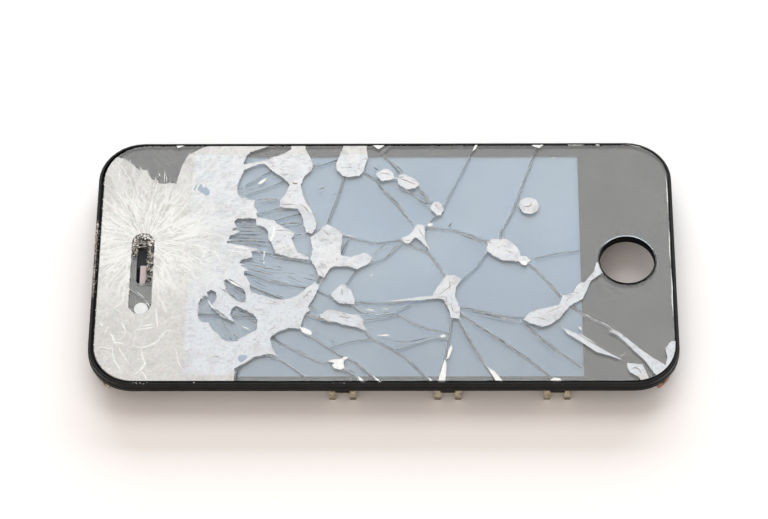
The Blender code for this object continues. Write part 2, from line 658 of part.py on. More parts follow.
def make_fork_clip(name, place, side):
    """A steel strip in the underside of the rim, forked to two prongs."""
    strip = fork_blank(name, place, side)
    gap = FORK_WIDTH - 2 * PRONG_WIDTH
    arch_top = rim_bottom - FORK_BRIDGE
    arch = rounded_rectangle(gap, 2 * arch_top, PRONG_TIP_RADIUS, (place, 0), SMALL_STEPS)
    off_corner = PRONG_TIP_RADIUS * (1 - math.sqrt(0.5))
    corners = []
    for end in (-1, 1):
        for edge in (-1, 1):
            prong_x = place + end * (FORK_WIDTH / 2 - PRONG_WIDTH / 2)
            corner_x = prong_x + edge * PRONG_WIDTH / 2
            corner = [
                Vector((corner_x + edge * OVERRUN, -OVERRUN)),
                Vector((corner_x - edge * PRONG_TIP_RADIUS, -OVERRUN)),
                Vector((corner_x - edge * PRONG_TIP_RADIUS, 0)),
                Vector((corner_x - edge * off_corner, off_corner)),
                Vector((corner_x, PRONG_TIP_RADIUS)),
                Vector((corner_x + edge * OVERRUN, PRONG_TIP_RADIUS)),
            ]
            corners.append(corner)
    middle_y = side * (FRAME_WIDTH / 2 - CLIP_INSET - CLIP_SHEET / 2)
    sides = (middle_y - CLIP_SHEET, middle_y + CLIP_SHEET)
    cutters = [
        loft("cut", [(outline, sides[0]), (outline, sides[1])], across=True)
        for outline in [arch, *corners]
    ]
    return combine(strip, "DIFFERENCE", cutters)


def eyelet_blank(name, side_x, side_y, spare=0.0):
    """The tab of an eyelet, upright across a corner, or with spare room its seat."""
    diagonal = Vector((side_x, side_y)).normalized()
    across = Vector((-diagonal.y, diagonal.x))
    arc_middle = Vector(
        (side_x * (FRAME_LENGTH / 2 - CORNER_RADIUS), side_y * (FRAME_WIDTH / 2 - CORNER_RADIUS))
    )
    middle = arc_middle + diagonal * (CORNER_RADIUS - EYELET_INSET - CLIP_SHEET / 2)
    outline = [
        middle + across * x * (EYELET_WIDTH / 2 + spare) + diagonal * y * (CLIP_SHEET / 2 + spare)
        for x, y in ((1, 1), (-1, 1), (-1, -1), (1, -1))
    ]
    seat_top = ledge_top - SLOT_ROOF
    if spare:
        return block(name, outline, rim_bottom - OVERRUN, seat_top)
    finish = "copper_steel" if (side_x, side_y) == (1, -1) else "steel"
    return block(name, outline, rim_bottom - EYELET_DROP, seat_top - CLIP_FIT, finish=finish)


def make_corner_eyelet(name, side_x, side_y):
    """A steel tab with a screw hole and a rounded tip."""
    tab = eyelet_blank(name, side_x, side_y)
    tip = rim_bottom - EYELET_DROP
    hole_centre = (0, tip + EYELET_TIP_RADIUS + EYELET_HOLE / 2 - FIT)
    half = EYELET_WIDTH / 2
    hole = circle(EYELET_HOLE, hole_centre, SPOT_STEPS)
    cutters = [loft("cut", [(hole, -half), (hole, half)], across=True)]
    for edge in (-1, 1):
        arc_middle = Vector((edge * (half - EYELET_TIP_RADIUS), tip + EYELET_TIP_RADIUS))
        corner = [Vector((edge * (half + OVERRUN), tip - OVERRUN))]
        for step in range(END_STEPS // 2 + 1):
            angle = math.radians(-90 + 90 * step / (END_STEPS // 2))
            reach = Vector((edge * math.cos(angle), math.sin(angle))) * EYELET_TIP_RADIUS
            corner.append(arc_middle + reach)
        corner.insert(1, Vector((arc_middle.x, tip - OVERRUN)))
        corner.append(Vector((edge * (half + OVERRUN), tip + EYELET_TIP_RADIUS)))
        cutters.append(loft("cut", [(corner, -half), (corner, half)], across=True))
    turn = math.atan2(side_y, side_x) - math.pi / 2
    arc_x = side_x * (FRAME_LENGTH / 2 - CORNER_RADIUS)
    arc_y = side_y * (FRAME_WIDTH / 2 - CORNER_RADIUS)
    reach = CORNER_RADIUS - EYELET_INSET - CLIP_SHEET / 2
    for cutter in cutters:
        cutter.rotation_euler.z = turn
        cutter.location = (
            (arc_x - reach * math.sin(turn)) * MM,
            (arc_y + reach * math.cos(turn)) * MM,
            0,
        )
    bpy.context.view_layer.update()
    return combine(tab, "DIFFERENCE", cutters)


def make_glass_blank():
    """The cover glass before it broke, chamfered, with its two holes."""

    def ring(inset):
        return rounded_rectangle(
            glass_length - 2 * inset, glass_width - 2 * inset, glass_radius - inset, glass_middle
        )

    blank = loft(
        "cover glass blank",
        [
            (ring(0), glass_bottom),
            (ring(0), glass_top - GLASS_CHAMFER),
            (ring(GLASS_CHAMFER), glass_top),
        ],
    )
    cutters = hole_cutters()
    over = OVERRUN / 2
    cutters.append(
        loft(
            "home hole chamfer",
            [
                (circle(HOME_DIAMETER - 2 * over, home_centre), glass_top - HOME_CHAMFER - over),
                (circle(HOME_DIAMETER + 2 * (HOME_CHAMFER + over), home_centre), glass_top + over),
            ],
        )
    )
    return combine(blank, "DIFFERENCE", cutters)


def crack_blade(path, floor):
    """A thin leaning blade along a crack, from its floor to above the glass."""
    outline = widened(on_glass(path), CRACK_GAP)
    top = glass_top + OVERRUN

    def leant(level):
        shift = Vector((CRACK_LEAN * (level - glass_top) / GLASS_THICKNESS, 0))
        return [point + shift for point in outline]

    return loft("crack", [(leant(floor), floor), (leant(top), top)])


def crushed_patches():
    """The outline of each crushed patch, and the clear islands in it."""
    islands = [
        stadium(GASKET_WIDTH, GASKET_LENGTH, gasket_centre),
        on_glass(CLEAR_FAR_CORNER),
        on_glass(CLEAR_STRIPES),
        on_glass(CLEAR_HOOK),
    ]
    patches = {"crushed_left_field": (on_glass(LEFT_FIELD), islands)}
    for name, points in CRUSHED_PATCHES.items():
        patches[name] = (on_glass(points), [])
    dot = circle(DOT_DIAMETER, on_glass([DOT_CENTRE])[0], SPOT_STEPS)
    patches["crushed_right_dot"] = (dot, [])
    return patches


def crush_block(name, outline, islands, spare, finish=None):
    """The pocket for a crushed patch or, with spare room taken off, the patch in it."""
    floor = glass_top - CRUSH_DEPTH + spare
    patch = block(name, grown(outline, -spare), floor, glass_top + OVERRUN, finish)
    if islands:
        cutters = [
            block("island", grown(island, spare), floor - OVERRUN, glass_top + 2 * OVERRUN)
            for island in islands
        ]
        combine(patch, "DIFFERENCE", cutters)
    return patch


def make_cover_glass():
    """The shards, and the crushed patches let into their top."""
    blank = make_glass_blank()
    below = glass_bottom - OVERRUN
    cutters = [crack_blade(path, below) for path in THROUGH_CRACKS.values()]
    cutters += [crack_blade(path, glass_bottom + CRACK_FLOOR) for path in PART_CRACKS]
    cutters += [crush_block("chip", on_glass(chip), [], 0) for chip in CHIPS]
    for name, (outline, islands) in crushed_patches().items():
        cutters.append(crush_block("pocket", outline, islands, 0))
        patch = crush_block(name, outline, islands, CRUSH_GAP, "crushed_glass")
        combine(patch, "INTERSECT", [copy_of(blank, "blank")])
    # So many crossing blades leave open edges with the exact solver
    combine(blank, "DIFFERENCE", cutters, "MANIFOLD")
    split_shards(blank)


def split_shards(plate):
    """Each loose part of the cut plate that holds a shard's place, as its own object."""
    work = bmesh.new()
    work.from_mesh(plate.data)
    work.faces.ensure_lookup_table()
    tree = BVHTree.FromBMesh(work)
    above = Vector((0, 0, (glass_top + OVERRUN) * MM))
    for name, place in SHARD_PLACES.items():
        start = on_glass([place])[0].to_3d() * MM + above
        found = tree.ray_cast(start, Vector((0, 0, -1)))[2]
        island = connected_faces(work.faces[found])
        shard = work.copy()
        shard.faces.ensure_lookup_table()
        others = [face for face in shard.faces if face.index not in island]
        bmesh.ops.delete(shard, geom=others, context="FACES")
        add_object(name, shard, "cover_glass")
    work.free()
    bpy.data.objects.remove(plate)


def connected_faces(first):
    """Indices of all faces that share edges with the first, directly or through others."""
    found = {first.index}
    waiting = [first]
    while waiting:
        for edge in waiting.pop().edges:
            for face in edge.link_faces:
                if face.index not in found:
                    found.add(face.index)
                    waiting.append(face)
    return found


def make_black_print():
    """The border printed under the glass, with the window left clear."""
    window_middle = ((window_left + window_right) / 2, WINDOW_SHIFT)
    outer = rounded_rectangle(glass_length, glass_width, glass_radius, glass_middle)
    inner = rounded_rectangle(
        window_right - window_left, window_width, WINDOW_RADIUS, window_middle
    )
    border = loft(
        "black_print",
        [(outer, print_bottom), (outer, print_top), (inner, print_top), (inner, print_bottom)],
        hollow=True,
        finish="black_print",
    )
    cutters = hole_cutters()
    camera = circle(CAMERA_DIAMETER, camera_centre)
    cutters.append(block("camera", camera, print_bottom - OVERRUN, print_top + OVERRUN))
    return combine(border, "DIFFERENCE", cutters)


def make_earpiece():
    """The gasket under the slot, and what is left of the mesh that lay on it."""
    outer = stadium(GASKET_WIDTH, GASKET_LENGTH, gasket_centre)
    opening_centre = (slot_centre[0] + GASKET_OPENING_SHIFT, slot_centre[1])
    opening = stadium(GASKET_OPENING, SLOT_LENGTH, opening_centre)
    loft(
        "earpiece_gasket",
        [(outer, rim_bottom), (outer, ledge_top), (opening, ledge_top), (opening, rim_bottom)],
        hollow=True,
        finish="rubber",
    )
    half = SLOT_WIDTH / 2 - MESH_CLEARANCE
    mesh_top = slot_centre[1] + SLOT_LENGTH / 2 - MESH_TOP_GAP
    torn = [
        Vector((slot_centre[0] - half, mesh_top)),
        Vector((slot_centre[0] - half, mesh_top - MESH_TORN_LENGTH)),
        Vector((slot_centre[0] + half, mesh_top - MESH_TORN_LENGTH)),
        Vector((slot_centre[0] + half, mesh_top)),
    ]
    bottom = ledge_top + LAMINATION_GAP
    block("earpiece_mesh", torn, bottom, bottom + MESH_THICKNESS, "woven_steel")


def display_layer(name, left, right, width, top, thickness, finish):
    """A flat layer of the display, and the level of the next one under it."""
    middle = ((left + right) / 2, DISPLAY_SHIFT)
    outline = rounded_rectangle(right - left, width, CELL_RADIUS, middle, SMALL_STEPS)
    block(name, outline, top - thickness, top, finish)
    return top - thickness - LAMINATION_GAP


def make_display():
    """Touch sensor, display cell and backlight, each under the one before."""
    cell_left = backlight_left
    inner_left = backlight_left + PAN_WALL + FIT + BACKLIGHT_RIB + FIT
    inner_right = display_right - PAN_WALL - FIT - BACKLIGHT_RIB - FIT
    inner_width = ring_width - 2 * (BACKLIGHT_RIB + FIT)
    level = display_layer(
        "touch_sensor", backlight_left - TOUCH_LEDGE, display_right, pan_width, ledge_top,
        TOUCH_THICKNESS, "clear_film",
    )
    level = display_layer(
        "front_polarizer", cell_left, display_right, cell_width, level, POLARIZER_THICKNESS,
        "display",
    )
    level = display_layer(
        "colour_filter_glass", cell_left, display_right, cell_width, level,
        CELL_GLASS_THICKNESS, "display",
    )
    tft_top = level
    level = display_layer(
        "transistor_glass", display_left, display_right, cell_width, level,
        CELL_GLASS_THICKNESS, "display",
    )
    ring_top = level
    level = display_layer(
        "rear_polarizer", inner_left, inner_right, inner_width, level, POLARIZER_THICKNESS,
        "display",
    )
    level = display_layer(
        "diffuser_film", inner_left, inner_right, inner_width, level, DIFFUSER_THICKNESS,
        "white_film",
    )
    guide_top = level
    guide_right = inner_right - LED_WIDTH - FIT
    level = display_layer(
        "light_guide", inner_left, guide_right, inner_width, level, LIGHT_GUIDE_THICKNESS,
        "clear_film",
    )
    display_layer(
        "led_strip", guide_right + FIT, inner_right, inner_width, guide_top,
        LIGHT_GUIDE_THICKNESS, "tan_plastic",
    )
    level = display_layer(
        "reflector_film", inner_left, inner_right, inner_width, level, REFLECTOR_THICKNESS,
        "white_film",
    )
    floor = level
    make_backlight_frame(floor, ring_top)
    pan_bottom = make_backlight_pan(floor, ring_top)
    make_circuits(tft_top, pan_bottom)


def make_backlight_frame(bottom, top):
    """The white plastic rib round the light guide."""
    left = backlight_left + PAN_WALL + FIT
    right = display_right - PAN_WALL - FIT
    middle = ((left + right) / 2, DISPLAY_SHIFT)
    outer, inner = (
        rounded_rectangle(
            right - left - 2 * inset,
            ring_width - 2 * inset,
            CELL_RADIUS + BACKLIGHT_RIB - inset,
            middle,
            SMALL_STEPS,
        )
        for inset in (0, BACKLIGHT_RIB)
    )
    loft(
        "backlight_frame",
        [(outer, bottom), (outer, top), (inner, top), (inner, bottom)],
        hollow=True,
        finish="white_plastic",
    )


def make_backlight_pan(floor, rim):
    """The folded steel tray that holds the backlight; returns the level of its underside."""
    length = display_right - backlight_left
    middle = ((display_right + backlight_left) / 2, DISPLAY_SHIFT)
    corner = CELL_RADIUS + BACKLIGHT_RIB + FIT + PAN_WALL
    outer, inner = (
        rounded_rectangle(
            length - 2 * inset, pan_width - 2 * inset, corner - inset, middle, SMALL_STEPS
        )
        for inset in (0, PAN_WALL)
    )
    bottom = floor - PAN_WALL
    loft(
        "backlight_pan",
        [(outer, bottom), (outer, rim), (inner, rim), (inner, floor)],
        finish="steel",
    )
    return bottom


def flex(name, path, middle_y, width):
    """A flexible circuit that follows a path in XZ."""
    outline = widened([Vector(point) for point in path], FLEX_THICKNESS)
    ends = (middle_y - width / 2, middle_y + width / 2)
    return loft(
        name, [(outline, ends[0]), (outline, ends[1])], finish="flex_film", across=True
    )


def connector(name, flex_end, top, middle_y, flex_width):
    """A plug connector under the end of a flexible circuit."""
    middle = (flex_end - CONNECTOR_FROM_END - CONNECTOR_LENGTH / 2, middle_y)
    width = flex_width - 2 * CONNECTOR_SIDE_MARGIN
    outline = rounded_rectangle(CONNECTOR_LENGTH, width, CELL_RADIUS, middle, SMALL_STEPS)
    return block(name, outline, top - CONNECTOR_HEIGHT, top, "tan_plastic")


def make_circuits(tft_top, pan_bottom):
    """The driver chip, and the two circuits folded under the backlight."""
    chip_middle = (display_left + DRIVER_LEDGE - CHIP_WIDTH, DISPLAY_SHIFT)
    chip_bottom = tft_top + LAMINATION_GAP
    chip = rounded_rectangle(CHIP_WIDTH, CHIP_LENGTH, FIT, chip_middle, SMALL_STEPS)
    block("driver_chip", chip, chip_bottom, chip_bottom + CHIP_HEIGHT, "chip")

    half = FLEX_THICKNESS / 2
    under = pan_bottom - LAMINATION_GAP - half
    on_ledge = chip_bottom + half
    fold = display_left - FLEX_BEND / 2
    tail = backlight_left + DISPLAY_FLEX_TAIL
    path = [
        (display_left + CHIP_WIDTH / 2, on_ledge),
        (display_left, on_ledge),
        (fold, on_ledge - FLEX_BEND / 2),
        (fold, under + FLEX_BEND / 2),
        (display_left, under),
        (tail, under),
    ]
    flex("display_flex", path, DISPLAY_SHIFT, DISPLAY_FLEX_WIDTH)
    seat = under - half - LAMINATION_GAP
    connector("display_connector", tail, seat, DISPLAY_SHIFT, DISPLAY_FLEX_WIDTH)

    on_touch = ledge_top - TOUCH_THICKNESS - LAMINATION_GAP - half
    touch_tail = backlight_left + TOUCH_FLEX_TAIL
    outer_fold = fold - FLEX_BEND / 2
    path = [
        (backlight_left - FIT, on_touch),
        (display_left - FIT, on_touch),
        (outer_fold, on_touch - FLEX_BEND),
        (outer_fold, under + FLEX_BEND),
        (display_left - FIT, under),
        (touch_tail, under),
    ]
    flex("touch_flex", path, touch_flex_middle, TOUCH_FLEX_WIDTH)
    connector("touch_connector", touch_tail, seat, touch_flex_middle, TOUCH_FLEX_WIDTH)


def main():
    for old in list(bpy.data.objects):
        bpy.data.objects.remove(old)
    make_bezel_frame()
    for side, row in ((-1, "near"), (1, "far")):
        for where, place in FORK_PLACES.items():
            make_fork_clip(f"fork_clip_{row}_{where}", place, side)
        for end, where in ((-1, "left"), (1, "right")):
            make_corner_eyelet(f"corner_eyelet_{row}_{where}", end, side)
    make_cover_glass()
    make_black_print()
    make_earpiece()
    make_display()


main()
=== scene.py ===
"""Looks of a shattered phone screen assembly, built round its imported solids.

The frame has +X to the home button end, +Y to the far long edge and +Z out of the glass,
with the ground at Z = 0. Lengths are in millimetres, and lists of points lie on the top of
the glass.
"""

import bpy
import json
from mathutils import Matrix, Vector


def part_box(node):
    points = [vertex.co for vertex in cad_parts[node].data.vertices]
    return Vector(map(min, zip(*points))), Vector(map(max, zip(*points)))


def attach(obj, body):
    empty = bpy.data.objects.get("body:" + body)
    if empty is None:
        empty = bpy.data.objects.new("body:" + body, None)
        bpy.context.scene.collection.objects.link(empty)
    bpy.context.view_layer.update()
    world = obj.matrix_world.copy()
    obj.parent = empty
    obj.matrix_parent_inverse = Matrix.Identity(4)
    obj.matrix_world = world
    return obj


bl_info = {
    "name": "Shattered Screen Looks",
    "version": (1, 0, 0),
    "blender": (4, 5, 0),
    "location": "3D View > Sidebar > Screen",
    "description": "Glass, crushed glass, display, bezel and clips of a broken screen",
    "category": "Object",
}

import json
import math
import random
from functools import partial
from types import SimpleNamespace

import bmesh
import bpy
from bpy.props import FloatProperty, FloatVectorProperty, IntProperty, PointerProperty
from bpy.types import Operator, Panel, PropertyGroup
from mathutils import Matrix, Vector, noise
from mathutils.bvhtree import BVHTree

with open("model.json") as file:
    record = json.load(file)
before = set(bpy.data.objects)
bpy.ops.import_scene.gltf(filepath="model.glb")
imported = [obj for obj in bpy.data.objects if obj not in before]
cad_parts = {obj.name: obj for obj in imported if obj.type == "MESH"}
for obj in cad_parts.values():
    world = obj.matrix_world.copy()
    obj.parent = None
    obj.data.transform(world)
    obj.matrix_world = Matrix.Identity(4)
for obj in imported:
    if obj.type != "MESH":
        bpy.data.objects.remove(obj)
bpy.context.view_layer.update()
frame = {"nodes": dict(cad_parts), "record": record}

MM = 0.001

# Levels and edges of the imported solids
GLASS_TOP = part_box("shard_home_button")[1].z / MM
PRINT_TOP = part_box("black_print")[1].z / MM
RIM_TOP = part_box("bezel_frame")[1].z / MM
FRAME_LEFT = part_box("bezel_frame")[0].x / MM
FRAME_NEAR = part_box("bezel_frame")[0].y / MM
GLASS_HALF_LENGTH = -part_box("crushed_left_field")[0].x / MM
GLASS_HALF_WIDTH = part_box("shard_home_button")[1].y / MM

# Radius of the frame's corners, and how far the glass stays inside its edge
FRAME_CORNER = 8.8
EDGE_INSET = 0.77

# Openings of the glass, and the middle of the blow that broke it
SLOT_MIDDLE = (-46.6, 0.0)
SLOT_HALF = (0.95, 5.0)
CAMERA_WINDOW = (-46.4, -10.5)
HOME_MIDDLE = (46.8, 0.0)
HOME_RADIUS = 5.325
IMPACT = (-46.4, 4.4)

# Window of the display in the print, as the crush over it shows: its left edge, its middle
# and half width across the part, and half the width of its soft edge
WINDOW_LEFT = -37.7
WINDOW_MIDDLE_Y = -0.4
WINDOW_HALF = 25.2
SOFT_EDGE = 0.2

# Heights over the glass top at which thin pieces start, so that none lies level with it
LOW_LIFT = 0.001
HIGH_LIFT = 0.002

# Seeds of the streaks and chips, of the crumbs, and of the splits
STREAK_SEED = 11
CRUMB_SEED = 5
SPLIT_SEED = 23

# Steps along a streak or split, and the fewest points that make one
STEP = 0.4
FEWEST_POINTS = 4

# Ridges: how fast they swell from their tips, how much their width ripples, and how many
# ripples there are to a millimetre
RIDGE_SWELL = 3.2
RIDGE_RIPPLE = 0.35
RIPPLES_PER_MM = 2.3

# Outline of a chip at a patch's edge: across it in widths, ahead in lengths
CHIP = [(-0.5, 0.0), (0.5, 0.0), (0.42, 0.45), (0.22, 0.85), (0.0, 1.0), (-0.25, 0.8),
        (-0.44, 0.4)]

# Patches of dust on the glass: lowest corner, highest corner, specks tried
DUST = [
    ((-55, 22), (-36, 27), 60), ((38, -27), (55, 27), 420), ((54.6, -24), (55.2, 24), 220),
    ((-30, 25.4), (38, 27), 80), ((-30, -27), (38, -25.8), 120), ((-36, -26), (38, 26), 60),
]

# Where crumbs lie round the slot: share of them in this zone and those before it, lowest
# and highest corner. The first zone is a heap at the slot's far end, round in outline
SLOT_ZONES = [
    (0.55, (-48.6, 3.4), (-44.7, 6.1)), (0.9, (-45.75, -5.2), (-44.6, 3.4)),
    (1.0, (-48.5, 1), (-47.6, 3.6)),
]
HEAP_MIDDLE_Y = 4.1
HEAP_RADIUS = 2.1

# Larger inked crumbs right of the slot
INKED_CLUMPS = [(-44.8, 3), (-44.8, 2.2), (-44.7, -1), (-45.2, -3), (-45, -4.1), (-45.3, -4.9),
                (-44.9, 3.9)]

# Crumbs on the rim at the left end: middle, its X counted from the frame's edge, half
# spread, count, share of pale ones
LEFT_RIM = [
    ((0.5, 8.2), (0.25, 0.5), 8, 0.9), ((0.55, 6.6), (0.25, 0.4), 6, 0.9),
    ((0.5, 0.5), (0.35, 7.5), 110, 0.15), ((0.45, -3.5), (0.3, 3), 20, 0.15),
]

# Pale crumbs on the near rim: middle, half spread, count
NEAR_RIM = [(-45.6, 1.7, 16), (-35.5, 0.5, 5), (-8, 1.5, 5)]

# Pale patch of painted light in the slot, standing for the lit floor seen through it: middle,
# half width, near and far end
SLOT_LIGHT_MIDDLE = -46.37
SLOT_LIGHT_HALF = 0.62
SLOT_LIGHT_ENDS = (-4.5, -0.5)

# Camera: turn, rise and roll in degrees, and the place that it looks at
CAMERA_TURN, CAMERA_RISE, CAMERA_ROLL = 1.667, 57.078, -1.493
CAMERA_TARGET = (-0.02, 1.188, 5.0)

# Detail and roughness of a noise, where a finish needs no other
DETAIL = 3.0
ROUGHNESS = 0.55

# Distance of the lamps from the middle and half the floor's side, in metres
LAMP_DISTANCE = 1.2
FLOOR_HALF = 3.0

# White veins in the crushed field: width, then points
VEINS = [
    (0.35, [(-49.6, -4.6), (-49.8, -7.4), (-50, -9.2), (-50.9, -10.3), (-52.2, -11.4)]),
    (0.4, [(-54, -13.9), (-53.4, -14.9)]),
    (0.3, [(-52.2, -14.7), (-52.7, -15.6), (-53, -16.6)]),
    (0.42, [(-52.1, -16.1), (-51.4, -17.2), (-51, -18.3), (-50.2, -19.2)]),
    (0.3, [(-50.4, -19), (-49.8, -20.3), (-49, -21.6), (-48.3, -22.8), (-47.7, -23.5)]),
    (0.3, [(-50, -13.8), (-49.4, -15), (-48.8, -16.2)]),
    (0.35, [(-51.4, -18.5), (-50, -18.6), (-48.8, -19)]),
    (0.25, [(-54.7, -19.7), (-53.5, -19.5), (-52, -19.8), (-51.1, -19.9)]),
    (0.3, [(-51.3, -19.4), (-51.2, -21), (-50.9, -22.3), (-50.2, -23.5), (-49.4, -24.9),
           (-48.6, -26)]),
    (0.35, [(-48.2, -19.3), (-47, -19.3), (-46, -19.6), (-45, -19.4), (-44, -19),
            (-43, -18.3), (-42.3, -17.3), (-41.7, -16.3), (-40.9, -15.8), (-39.4, -15.9)]),
    (0.42, [(-45.8, -19.6), (-45.7, -21), (-45.3, -22.3), (-45, -23.1), (-45.4, -24),
            (-46.3, -25), (-47.6, -25.9)]),
    (0.3, [(-45.7, -24.7), (-44.8, -26), (-44.4, -26.9)]),
    (0.4, [(-43.4, -10.2), (-43.3, -12.5), (-43.1, -14), (-42.8, -15.5)]),
    (0.3, [(-47.7, -15.8), (-46, -15.5), (-44.8, -15.3), (-43.2, -14.8)]),
    (0.3, [(-46.3, -14.8), (-44.6, -14.6), (-43.4, -14.2)]),
    (0.45, [(-42.1, -9.7), (-41.7, -11), (-41.4, -12.2)]),
    (0.22, [(-39.9, -18.8), (-39.3, -20), (-39, -21.3), (-38.8, -22.6), (-38.2, -23.8),
            (-37.2, -24.7)]),
    (0.22, [(-46, -13.3), (-45, -12.9), (-44.4, -12)]),
    (0.5, [(-35, 10.4), (-36.2, 9), (-37.3, 8), (-38.8, 7), (-40.2, 6)]),
    (0.3, [(-33.3, 13), (-33.4, 11.6), (-33.5, 10.6)]),
    (0.3, [(-34.6, 12.4), (-34.9, 11), (-35.2, 10)]),
    (0.35, [(-34.3, 2.9), (-34.7, 1.8), (-35, 0.8), (-35.6, -0.2)]),
    (0.3, [(-32.8, 2.6), (-32.3, 1.4), (-31.8, 0.2), (-31.4, -0.6)]),
    (0.18, [(-42.4, 3), (-41.9, 1), (-41.8, -1.4), (-42.3, -3.6)]),
    (0.18, [(-40.2, 3.2), (-39.9, 1.2), (-40.2, -0.8), (-41, -2.6)]),
    (0.2, [(-43.4, -4.6), (-43.8, -6.4), (-43.7, -8.4)]),
    (0.16, [(-37.2, 3.4), (-37.8, 1.8), (-37.6, 0)]),
]

# White crush at the glass edges and over small chips
FLECKS = [
    [(-10.6, -22.6), (-9.2, -22.2), (-7.2, -22.1), (-7.5, -23.1), (-7.2, -24.1),
     (-7.9, -24.5), (-9.1, -24.2), (-9.6, -23.6), (-9.2, -23)],
    [(11.6, -22.3), (11.1, -24.2), (10.5, -26.4), (10.4, -27.2), (11.7, -27.2),
     (11.9, -24.6), (11.9, -22.8)],
    [(12.9, -19), (12.3, -20.2), (12.1, -21.6), (11.8, -22.2), (12.4, -22), (12.8, -20.8),
     (13.1, -20)],
    [(19.5, -23.6), (20.1, -24.8), (21.3, -27.1), (22.6, -27.1), (21.2, -25.2)],
    [(31.4, -27.1), (31.6, -26.6), (32.4, -26.3), (33.2, -26.4), (33.8, -27.1)],
    [(-4.8, -25.8), (-4.5, -26.7), (-4.1, -27.2), (-3.4, -27.2), (-3.8, -26.6), (-4.5, -26)],
    [(-2.1, -25.6), (-1.4, -26.6), (-0.9, -27.2), (-0.2, -27.2), (-1, -26.5)],
    [(8.5, -26.2), (8.9, -27.1), (9.5, -27.2), (9.1, -26.6)],
    [(17.2, 25.5), (17.5, 26.4), (17.8, 27.1), (18.3, 27.1), (17.9, 26.2)],
    [(28.9, 27.1), (29.3, 26.7), (29.8, 26.5), (30.3, 26.3), (31.3, 27.1), (30.4, 27)],
    [(-2.4, 27.1), (-1.7, 26.4), (-1.2, 26.1), (-0.6, 26.6), (-0.1, 27.1)],
    [(-41.1, 27), (-40.9, 26.5), (-40.3, 26.7), (-39.9, 26.9), (-39.4, 27.1)],
    [(35.8, 27.13), (36.4, 26.95), (38.6, 26.93), (39.8, 27.13)],
    [(41.4, 27.1), (41.9, 26.85), (42.6, 27.1)],
    [(-15.9, -15.1), (-14.9, -15.2), (-13.7, -16), (-13.6, -16.8), (-14.4, -16.7),
     (-15.4, -16.2)],
    [(-1.2, -16.9), (0.6, -16.7), (1.4, -16.9), (0.2, -17.1)],
    [(-7.8, -22), (-7.4, -21.7), (-6.6, -21.7), (-6.9, -22.2)],
    [(10.7, -17.2), (11.1, -16.8), (11.9, -16.8), (11.6, -17.3), (11, -17.5)],
    [(-2.6, -3.4), (-2.3, -3.1), (-2.1, -3.4), (-2.3, -3.7)],
    [(32.8, 23.9), (33.1, 24.1), (33.5, 24), (33.2, 23.7)],
    [(37, -15.2), (37.3, -14.9), (37.6, -15.5), (37.4, -15.7)],
    [(26, -0.2), (26.6, -1), (27.2, -1.2), (27.6, -0.8), (27.2, -0.2)],
    [(8.3, 8.1), (8.7, 8.6), (9.4, 8.5), (9.3, 8), (8.8, 7.8)],
    [(-24.9, 17.9), (-23.9, 19), (-23.1, 19.3), (-23.5, 18.5), (-24.3, 17.8)],
    [(-22.2, 4.6), (-21.6, 6.2), (-21.5, 8), (-21.2, 8), (-21.2, 6.2), (-21.8, 4.4)],
    [(1.6, 11.8), (1.9, 11.9), (1.9, 11.6)],
]

# Spots in the crush that stayed clear, so that the display shows
CLEARINGS = [
    [(-36.4, 16.3), (-36.7, 17), (-36.2, 17.9), (-35.8, 17.9), (-35.6, 17), (-34.9, 17.2),
     (-34.4, 16.6), (-34.1, 16), (-34.3, 15.3), (-34.9, 15.1), (-35.5, 15.7)],
    [(-37.3, 16.6), (-37, 17.6), (-36.7, 17.8), (-36.9, 16.9), (-37.1, 16.2)],
    [(-27.5, -22), (-27.3, -21.4), (-26.7, -21.2), (-25.9, -21.3), (-25.6, -21.7),
     (-26.1, -22.4), (-26.7, -22.8), (-27.2, -22.7)],
]
